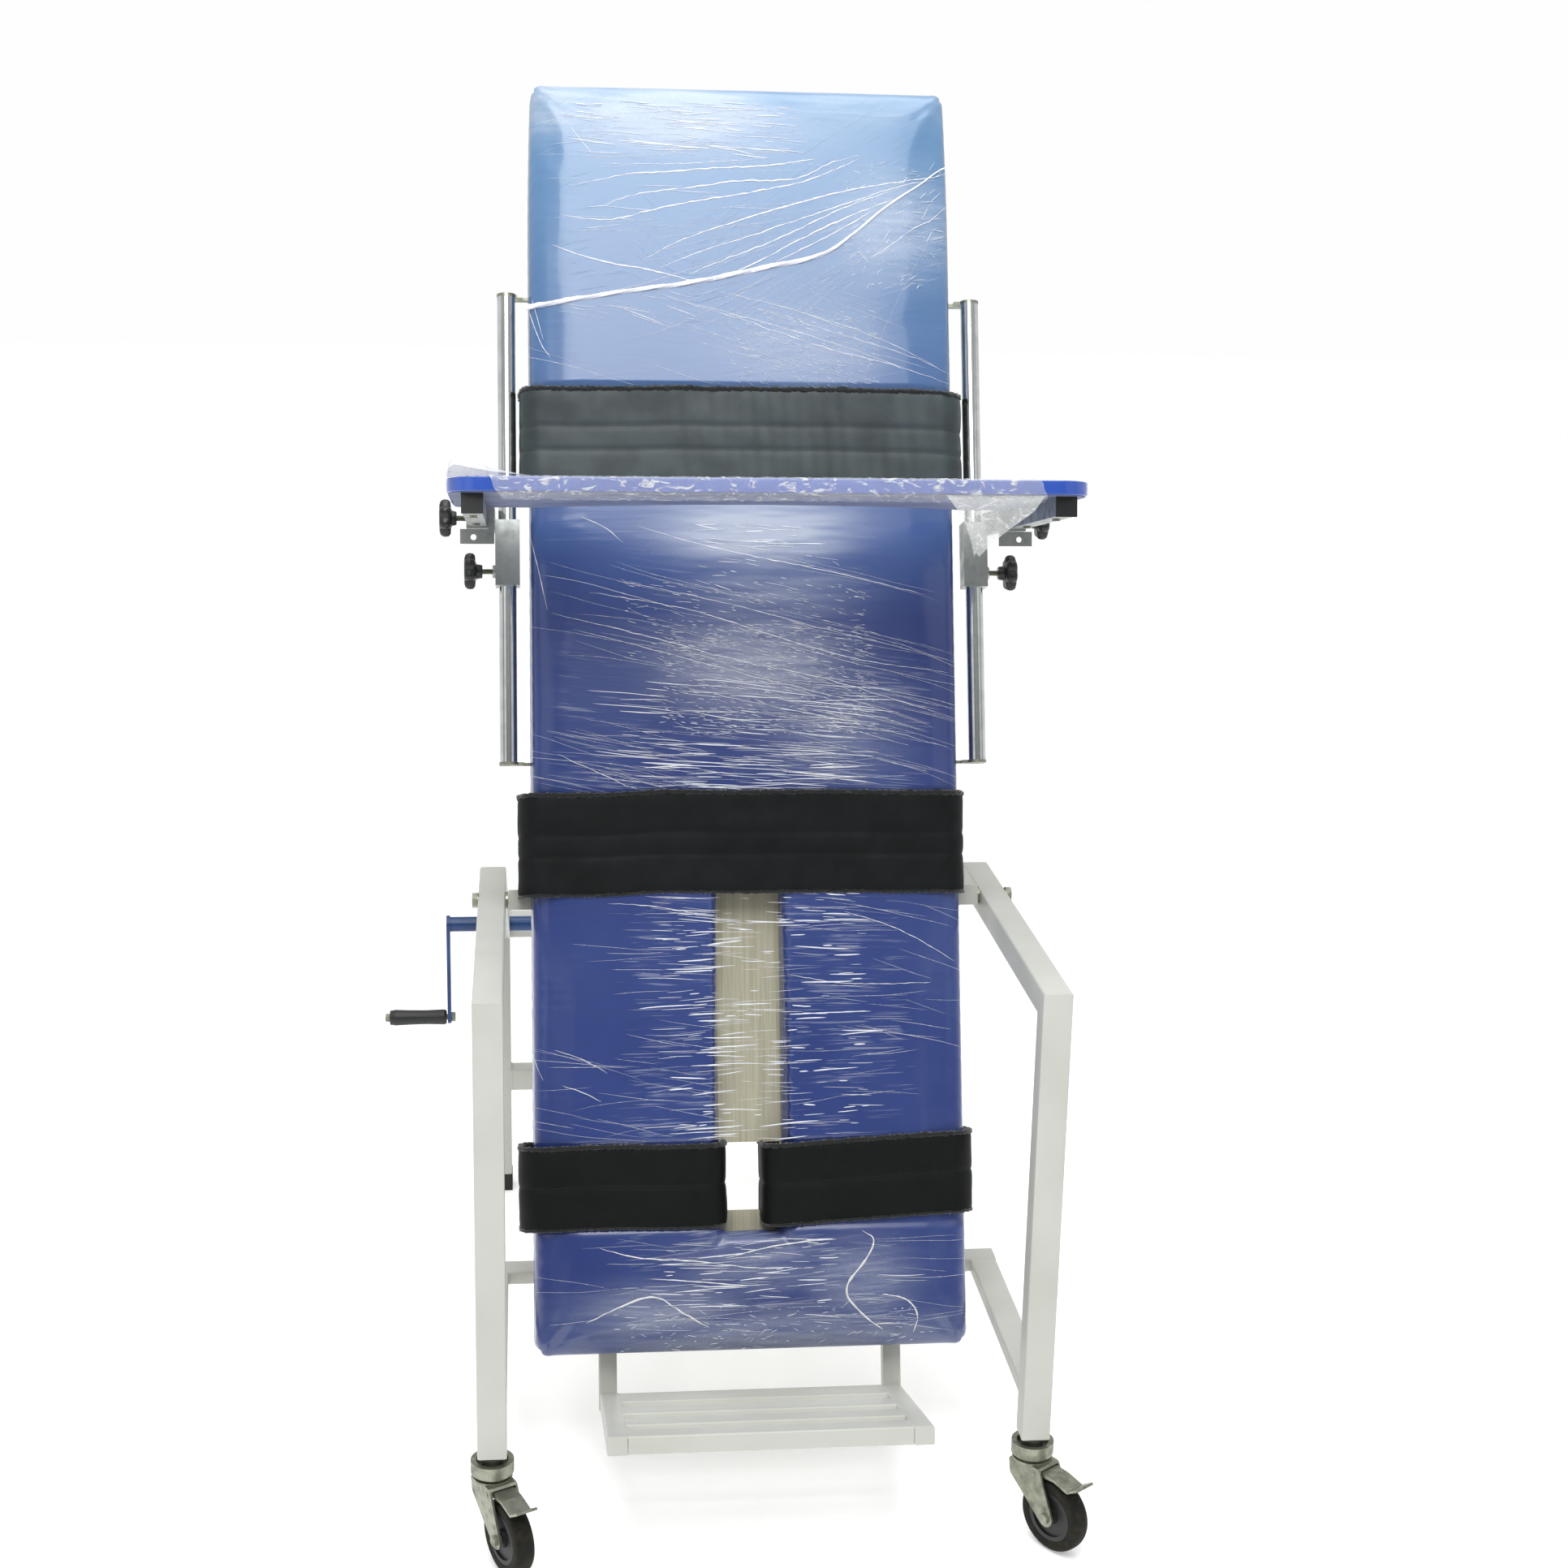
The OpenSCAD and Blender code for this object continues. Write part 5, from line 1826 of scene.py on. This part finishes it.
@dataclass
class Tray:
    """The laminated tray on its two arms."""

    half_w: float = 402.0
    front: float = -443.0
    depth: float = 320.0
    under: float = 13.0
    thick: float = 18.0
    front_r: float = 45.0
    back_r: float = 20.0
    curve_r: float = 520.0
    edge_r: float = 2.5

    def build(self) -> None:
        """Builds the tray's board and its grey backing."""
        at = LAYOUT.arms()
        loop = self.outline()
        rows = []
        for k in range(7):
            angle = np.pi * k / 6 - np.pi / 2
            inset = self.edge_r * (1 - np.cos(angle))
            high = self.under + self.thick / 2 + np.sin(angle) * self.edge_r
            high += np.sign(np.sin(angle)) * (self.thick / 2 - self.edge_r)
            ring = self.inward(loop, inset)
            rows.append(np.column_stack([ring, np.full(len(ring), high)]))
        board = Shell("tray_panel").grid(at.place(np.array(rows)))
        finish_piece(board.build(30.0), LAMINATE, "tray", "tray_board")
        low = self.inward(loop, 3.0)
        sheet = np.array([np.column_stack([low, np.full(len(low), self.under - h)])
                          for h in (0.05, 0.9)])
        finish_piece(Shell("tray_backing").grid(at.place(sheet)).build(30.0), BACKING, "tray")

    def outline(self) -> np.ndarray:
        """Gives the tray's outline: round corners and a hollow arc at the back.

        Returns:
            The loop's points N x 2 in the arms' frame, in millimetres.
        """
        def arc(cx: float, cy: float, r: float, a0: float, a1: float, k: int) -> np.ndarray:
            """Gives points of an arc from angle a0 to a1 in degrees.

            Args:
                cx: the centre's x.
                cy: the centre's y.
                r: the radius.
                a0: the first angle.
                a1: the last angle.
                k: how many points.

            Returns:
                The points k x 2.
            """
            a = np.radians(np.linspace(a0, a1, k))
            return np.stack([cx + r * np.cos(a), cy + r * np.sin(a)], 1)

        back = self.front + self.depth
        centre_y = back + 430
        edge = np.degrees(np.arccos((centre_y - back) / self.curve_r))
        front_x = self.half_w - self.front_r
        back_x = self.half_w - self.back_r
        parts = [
            arc(-front_x, self.front + self.front_r, self.front_r, 180, 270, 12),
            arc(front_x, self.front + self.front_r, self.front_r, 270, 360, 12),
            arc(back_x, back - self.back_r, self.back_r, 0, 90, 8),
            arc(0, centre_y, self.curve_r, 270 + edge, 270 - edge, 60),
            arc(-back_x, back - self.back_r, self.back_r, 90, 180, 8),
        ]
        return np.vstack(parts)

    @staticmethod
    def inward(loop: np.ndarray, inset: float) -> np.ndarray:
        """Moves each point of a loop inwards along the mean normal of its two sides.

        Args:
            loop: the loop's points N x 2.
            inset: how far they move.

        Returns:
            The moved points.
        """
        ahead = np.roll(loop, -1, 0) - loop
        ahead /= np.maximum(np.linalg.norm(ahead, axis=1)[:, None], 1e-9)
        mean = ahead + np.roll(ahead, 1, 0)
        mean /= np.linalg.norm(mean, axis=1)[:, None]
        normal = np.stack([-mean[:, 1], mean[:, 0]], 1)
        return loop + normal * inset


@dataclass
class TrayFilm:
    """Stretch film on the tray: a band over its front, a hood and a hanging pocket."""

    front: float = -443.0
    low: float = 13.0
    high: float = 31.0
    wall: float = 0.00015
    seed: int = 71

    def build(self) -> None:
        """Builds the three sheets, which move with the tray."""
        self.sheet("film_band", self.band(), TIGHT_FILM, "stretched")
        self.sheet("film_hood", self.hood(), FILM, "gathered")
        self.sheet("film_pocket", self.pocket(), FILM, "hung")

    def sheet(self, name: str, local: np.ndarray, finish: Finish, held: str) -> None:
        """Args:
            name: the piece's name.
            local: points rows x cols x 3 in the arms' frame, in millimetres.
            finish: the film's finish.
        """
        shell = Shell(name).grid(LAYOUT.arms().place(local), wrap_cols=False, caps=False)
        piece = shell.build(180.0)
        thick = piece.modifiers.new("thick", "SOLIDIFY")
        thick.thickness = self.wall
        apply_modifiers(piece)
        finish_piece(piece, finish, "tray")

    def creases(self, local: np.ndarray, size: Sequence[float], seed: int) -> np.ndarray:
        """Gives crease heights, sharp at their crests, for a grid of points.

        Args:
            local: points rows x cols x 3.
            size: the creases' spacing on each axis.
            seed: fixes where they fall.

        Returns:
            Heights rows x cols, 1 at the crests.
        """
        flat = local.reshape(-1, 3)
        value = 1 - np.abs(soft_noise(flat, size, seed, 14))
        return value.reshape(local.shape[:2])

    def band(self) -> np.ndarray:
        """Gives the sheet that folds over the tray's top edge, down its front and under.

        Returns:
            Points rows x cols x 3 in the arms' frame, in millimetres.
        """
        x = np.linspace(-346.0, 336.0, 260)
        profile = np.array([(26, self.high + 0.8), (6, self.high + 1.2),
                            (0, self.high + 0.6), (-1, self.high - 3), (-1, self.low + 4),
                            (-0.6, self.low + 1), (6, self.low - 2.4), (30, self.low - 5.0),
                            (62, self.low - 5.6)])
        run = np.linspace(0, 1, len(profile))
        v = np.linspace(0, 1, 42)
        y = self.front + np.interp(v, run, profile[:, 0])
        z = np.interp(v, run, profile[:, 1])
        lean = 22 * (v - 0.4)
        local = np.stack([x[None] + lean[:, None], y[:, None] + 0 * x, z[:, None] + 0 * x], -1)
        rise = np.clip(self.creases(local, (16, 60, 44), self.seed), 0, None)
        face = np.exp(-(((v - 0.42) / 0.30) ** 4))[:, None]
        local[..., 1] -= 0.9 * rise * face
        local[..., 2] += 0.8 * rise * (v < 0.25)[:, None] - 1.6 * rise * (v > 0.7)[:, None]
        return local

    def hood(self) -> np.ndarray:
        """Gives the loose sheet that stands up over the tray's left front corner.

        Returns:
            Points rows x cols x 3 in the arms' frame, in millimetres.
        """
        u = np.linspace(0, 1, 64)
        v = np.linspace(0, 1, 26)
        x = -401.0 + 104.0 * u
        crest = np.interp(x, (-401, -397, -391, -372, -345, -318, -297), (2, 19, 25, 18, 10, 5, 1))
        y = self.front + 4 + 42 * v
        arch = np.sin(np.pi * np.clip(v * 0.8 + 0.18, 0, 1))
        z = self.high + 0.8 + crest[None] * arch[:, None]
        local = np.stack([x[None] + 0 * z, y[:, None] + 0 * z, z], -1)
        ends = np.sin(np.pi * u)[None] ** 0.5
        local[..., 1] += 2.0 * self.creases(local, (30, 60, 14), self.seed + 3) * ends
        return local

    def pocket(self) -> np.ndarray:
        """Gives the sheet that hangs from the tray's right front down to the slider.

        Returns:
            Points rows x cols x 3 in the arms' frame, in millimetres.
        """
        v = np.linspace(0, 1, 60)[:, None]
        u = np.linspace(0, 1, 90)[None]
        left = np.interp(v, (0, 0.35, 0.75, 1), (214, 240, 256, 264))
        right = np.interp(v, (0, 0.25, 0.5, 0.75, 1), (340, 330, 306, 284, 270))
        x = left + (right - left) * u
        y = self.front + 3 + 74 * v + 8 * np.sin(np.pi * u)
        z = self.low - 1 - 74 * v + 5 * np.sin(np.pi * u) * v
        local = np.stack([x, y + 0 * x, z + 0 * x], -1)
        drape = self.creases(local, (26, 90, 48), self.seed + 5)
        fine = self.creases(local, (11, 40, 20), self.seed + 6)
        local[..., 1] -= (3.4 * drape + 0.9 * fine) * np.sin(np.pi * np.clip(v + 0.05, 0, 1))
        return local


# ---- knobs and casters ------------------------------------------------------------------------


@dataclass
class Knob:
    """A seven-lobed clamping knob of moulded nylon on its steel stud."""

    name: str
    body: str
    seat: Axes
    stud_l: float
    hub_l: float
    radius: float
    lobes: int = 7
    steps: int = 112
    pitch: float = 0.6

    def build(self) -> None:
        """Builds the head with scalloped sides and a domed, dished face, and the stud."""
        angle = np.linspace(0, 2 * np.pi, self.steps, endpoint=False)
        wave = 0.5 + 0.5 * np.cos(self.lobes * angle)
        scallop = 1 - 0.20 * (1 - wave**0.6)
        start = self.stud_l + self.hub_l
        profile = np.array([
            (0.0, self.stud_l, 0), (0.33, self.stud_l, 0), (0.36, self.stud_l + 1, 0),
            (0.40, start - 2, 0), (0.55, start - 0.5, 0.3), (0.86, start, 1),
            (0.97, start + 2.5, 1), (1.0, start + 6, 1), (0.99, start + 10, 1),
            (0.90, start + 13.5, 1), (0.72, start + 15, 0.8), (0.48, start + 15, 0.2),
            (0.42, start + 13.4, 0), (0.20, start + 13.0, 0), (0.0, start + 13.0, 0),
        ])
        shape = 1 + profile[:, 2:] * (scallop[None] - 1)
        radius = profile[:, :1] * self.radius * shape
        local = np.stack([profile[:, 1:2] + 0 * angle, radius * np.cos(angle),
                          radius * np.sin(angle)], -1)
        shell = Shell(self.name + "_head").grid(self.seat.place(local), caps=False)
        finish_piece(shell.build(50.0), NYLON, self.body, self.name)
        stud = np.array([(0.0, 0.5), (3.6, 0.5)] + [
            (3.9 if k % 2 else 3.3, 0.8 + self.pitch * k)
            for k in range(int(self.stud_l / self.pitch))
        ] + [(3.6, self.stud_l + 0.5), (0.0, self.stud_l + 0.5)])
        finish_piece(Shell(self.name + "_stud").grid(lathe(stud, 20, self.seat), caps=False)
                     .build(60.0), ZINC, self.body)


def knobs() -> Iterable[Knob]:
    """Gives the six knobs: tray height, tray depth and footrest, on both sides.

    Returns:
        The knobs, not built yet.
    """
    lay = LAYOUT
    board, arms = lay.board(), lay.arms()
    for side in Side:
        sign = side.value
        out = sign * X_AXIS
        low = board.place(np.array([sign * (lay.rail_x + 13.1), -lay.rail_n, 458.0]))
        high = arms.place(np.array([sign * (lay.arm_x + 12.9), -75.0, 0.0]))
        step = board.place(np.array([sign * lay.stem_x, 12.9, -500.0]))
        low_name = f"height_knob_{side.word}"
        high_name = f"depth_knob_{side.word}"
        step_name = f"footrest_knob_{side.word}"
        yield Knob(low_name, low_name, Axes(low, out, board.y, board.z), 22, 10, 26)
        yield Knob(high_name, high_name, Axes(high, out, arms.y, arms.z), 16, 8, 26)
        yield Knob(step_name, step_name, Axes(step, board.y, X_AXIS, board.z), 20, 8, 20)


@dataclass
class Caster:
    """A swivel caster, of which the tyre is drawn afresh."""

    side: Side
    half: float = 13.5
    shoulder: float = 7.0

    def build(self) -> None:
        """Builds the tyre with round shoulders; hub and fork keep their CAD shape."""
        at = LAYOUT.caster(self.side.value)
        lay = LAYOUT
        spin = Axes(at.place(np.array([0, -lay.trail, lay.wheel_r])), at.x, at.y, at.z)
        half = self.half
        turn = np.linspace(-1, 1, 33)
        tread = lay.wheel_r - self.shoulder * (1 - np.sqrt(np.clip(1 - np.abs(turn) ** 2.6, 0, 1)))
        width = turn * half
        profile = np.vstack([
            [(34.0, -half + 1.2)], [(38.0, -half + 0.2)],
            np.stack([tread, width], 1),
            [(38.0, half - 0.2)], [(34.0, half - 1.2)],
        ])
        tyre = Shell(f"tyre_{self.side.word}").grid(lathe(profile, 96, spin), caps=False,
                                                   wrap_rows=True)
        finish_piece(tyre.build(40.0), TYRE, f"wheel_{self.side.word}",
                     f"caster_tyre_{self.side.word}")


# ---- footrest ---------------------------------------------------------------------------------


@dataclass
class Footrest:
    """The welded footrest: a frame of flat tubes with slats between."""

    width: float = 420.0
    depth: float = 290.0
    thick: float = 24.0
    bar: float = 27.0
    back: float = 12.5
    stem: float = 25.0
    stem_l: float = 260.0
    corner_r: float = 2.5
    slats: tuple[tuple[int, int], ...] = ((0, 45), (73, 45), (148, 45), (230, 60))

    def build(self) -> None:
        """Builds the side bars, the slats and the two stems with rounded corners."""
        lay, at = LAYOUT, LAYOUT.board()
        z = -lay.step_at - self.thick / 2
        shell = Shell("footrest_bars")
        side = (self.width - self.bar) / 2
        for x in (-side, side):
            line = [(x, -self.back, z), (x, -self.depth - self.back, z)]
            shell.grid(at.place(tube_run(line, X_AXIS, self.bar, self.thick, self.corner_r)))
        reach = self.width / 2 - self.bar + 1
        for low, wide in self.slats:
            y = -self.depth - self.back + low + wide / 2
            line = [(-reach, y, z), (reach, y, z)]
            shell.grid(at.place(tube_run(line, Y_AXIS, wide, self.thick - 0.6, self.corner_r)))
        finish_piece(shell.build(), POWDER, "footrest", "footrest_frame")
        stems = Shell("footrest_posts")
        for x in (-lay.stem_x, lay.stem_x):
            line = [(x, 0, -lay.step_at - self.thick), (x, 0, -lay.step_at + self.stem_l)]
            stems.grid(at.place(tube_run(line, X_AXIS, self.stem, self.stem, self.corner_r)))
        finish_piece(stems.build(), POWDER, "footrest", "footrest_stems")


# ---- studio -----------------------------------------------------------------------------------


@dataclass
class Studio:
    """The camera, the pale floor and the soft lights."""

    eye: tuple[float, float, float] = (-0.2441, -3.3386, 1.7695)
    pitch: float = 14.571
    yaw: float = 6.314
    roll: float = 1.234
    lens: float = 54.894
    floor_glow: float = 0.30

    def build(self) -> None:
        """Builds the camera, the floor, the world and the area lights."""
        self.build_camera()
        self.build_floor()
        self.build_world()
        self.light("overhead", (0.0, -0.4, 4.4), (0.0, 0.0, 0.6), 3.0, 74.0)
        self.light("front_left", (-3.4, -3.4, 2.4), (0.0, 0.0, 0.9), 2.0, 8.0)
        self.light("front_right", (3.4, -3.0, 2.4), (0.0, 0.0, 0.9), 2.0, 6.0)
        self.light("front_high", (-0.2, -2.3, 3.6), (0.0, 0.2, 1.5), 1.9, 62.0)

    def build_camera(self) -> None:
        """Turns pitch, yaw and roll into the camera's place and direction."""
        cp, sp = np.cos(np.radians(self.pitch)), np.sin(np.radians(self.pitch))
        cy, sy = np.cos(np.radians(self.yaw)), np.sin(np.radians(self.yaw))
        cr, sr = np.cos(np.radians(self.roll)), np.sin(np.radians(self.roll))
        level = np.array([[1, 0, 0], [0, 0, -1], [0, 1, 0]], float)
        turn = np.array([[cy, 0, -sy], [0, 1, 0], [sy, 0, cy]])
        nod = np.array([[1, 0, 0], [0, cp, -sp], [0, sp, cp]])
        bank = np.array([[cr, -sr, 0], [sr, cr, 0], [0, 0, 1]])
        rows = bank @ nod @ turn @ level
        matrix = np.eye(4)
        matrix[:3, 0], matrix[:3, 1], matrix[:3, 2] = rows[0], -rows[1], -rows[2]
        matrix[:3, 3] = self.eye
        data = bpy.data.cameras.new("camera")
        data.lens = self.lens
        data.sensor_width = 36.0
        data.clip_end = 100.0
        camera = bpy.data.objects.new("camera", data)
        camera.matrix_world = Matrix(matrix.tolist())
        bpy.context.scene.collection.objects.link(camera)
        bpy.context.scene.camera = camera

    def build_floor(self) -> None:
        """Lays a wide pale matt floor that glows a little, so that its shadows stay faint."""
        edge = np.linspace(-20, 20, 3)
        x, y = np.meshgrid(edge, edge)
        points = np.stack([x, y, 0 * x - 0.0002], -1)
        floor = Shell("floor").grid(points, wrap_cols=False, caps=False).build()
        pale = Finish("matt_white_floor", "", "#FBFBFB", "#F9F9F9", 0.9, grain_mm=30.0)
        matt = pale.material()
        shader = matt.node_tree.nodes["Principled BSDF"]
        shader.inputs["Emission Color"].default_value = (1.0, 1.0, 1.0, 1.0)
        shader.inputs["Emission Strength"].default_value = self.floor_glow
        floor.data.materials.append(matt)

    def build_world(self) -> None:
        """Lights the scene from a pale room that is darker low down behind the camera."""
        world = bpy.data.worlds.new("studio")
        world.use_nodes = True
        tree = world.node_tree
        back = tree.nodes["Background"]
        way = add_node(tree, "ShaderNodeTexCoord").outputs["Generated"]
        part = add_node(tree, "ShaderNodeSeparateXYZ", links={0: way})
        front = ramp_between(tree, part.outputs["Y"], -0.1, -0.6)
        low = ramp_between(tree, part.outputs["Z"], 0.66, 0.30)
        dark = calc(tree, "MULTIPLY", front, low)
        room = blend_colour(tree, dark, "#E6E6E6", "#666666")
        seen = add_node(tree, "ShaderNodeLightPath").outputs["Is Camera Ray"]
        colour = blend_colour(tree, seen, room, "#FEFEFE")
        tree.links.new(colour, back.inputs["Color"])
        bpy.context.scene.world = world
        bpy.context.scene.view_settings.view_transform = "Standard"

    def light(
        self,
        name: str,
        place: tuple[float, float, float],
        target: tuple[float, float, float],
        size: float,
        power: float,
    ) -> None:
        """Adds a square soft light aimed at a point.

        Args:
            name: the light's name.
            place: where it stands, in metres.
            target: what it points at.
            size: its side in metres.
            power: its power in watts.
        """
        data = bpy.data.lights.new(name, "AREA")
        data.size = size
        data.energy = power
        lamp = bpy.data.objects.new(name, data)
        lamp.location = place
        aim = Vector(target) - Vector(place)
        lamp.rotation_euler = aim.to_track_quat("-Z", "Y").to_euler()
        bpy.context.scene.collection.objects.link(lamp)


def dress_nodes(nodes: dict[str, Piece]) -> None:
    """Gives every CAD node the finish that NODE_FINISHES names for it.

    Args:
        nodes: CAD node objects by name.
    """
    for finish, names in NODE_FINISHES.items():
        for name in names:
            slots = nodes[name].data.materials
            slots.clear()
            slots.append(finish.material())


def straps() -> list[Strap]:
    """Gives the chest, hip and leg straps.

    Returns:
        The straps, not built yet.
    """
    return [
        Strap("chest_band", "chest_strap", -315.5, 315.5, 645.0, 134.0, LIT_CHEST_LEATHER, seed=11),
        Strap("hip_band", "hip_strap", -321.0, 309.0, 76.0, 138.0, HIP_LEATHER, seed=23),
        Strap("leg_band_left", "left_leg_strap", -322.0, -32.0, -396.0, 110.0, LEG_LEATHER,
              seed=31, along_steps=260),
        Strap("leg_band_right", "right_leg_strap", 12.0, 313.0, -398.0, 108.0, LEG_LEATHER,
              tilt=2.6, seed=37, along_steps=260),
    ]


def main() -> None:
    """Builds the studio and every sub-assembly in order."""
    logging.basicConfig(level=logging.INFO, format="%(name)s: %(message)s")
    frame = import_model()
    Studio().build()
    dress_nodes(frame["nodes"])
    BaseFrame().build()
    Pad().build(frame["nodes"]["pad"])
    Panel().build(frame["nodes"]["ply_board"])
    for strap in straps():
        strap.build()
    Tray().build()
    TrayFilm().build()
    for knob in knobs():
        knob.build()
    for side in Side:
        Caster(side).build()
    Footrest().build()


if __name__ == "__main__":
    main()
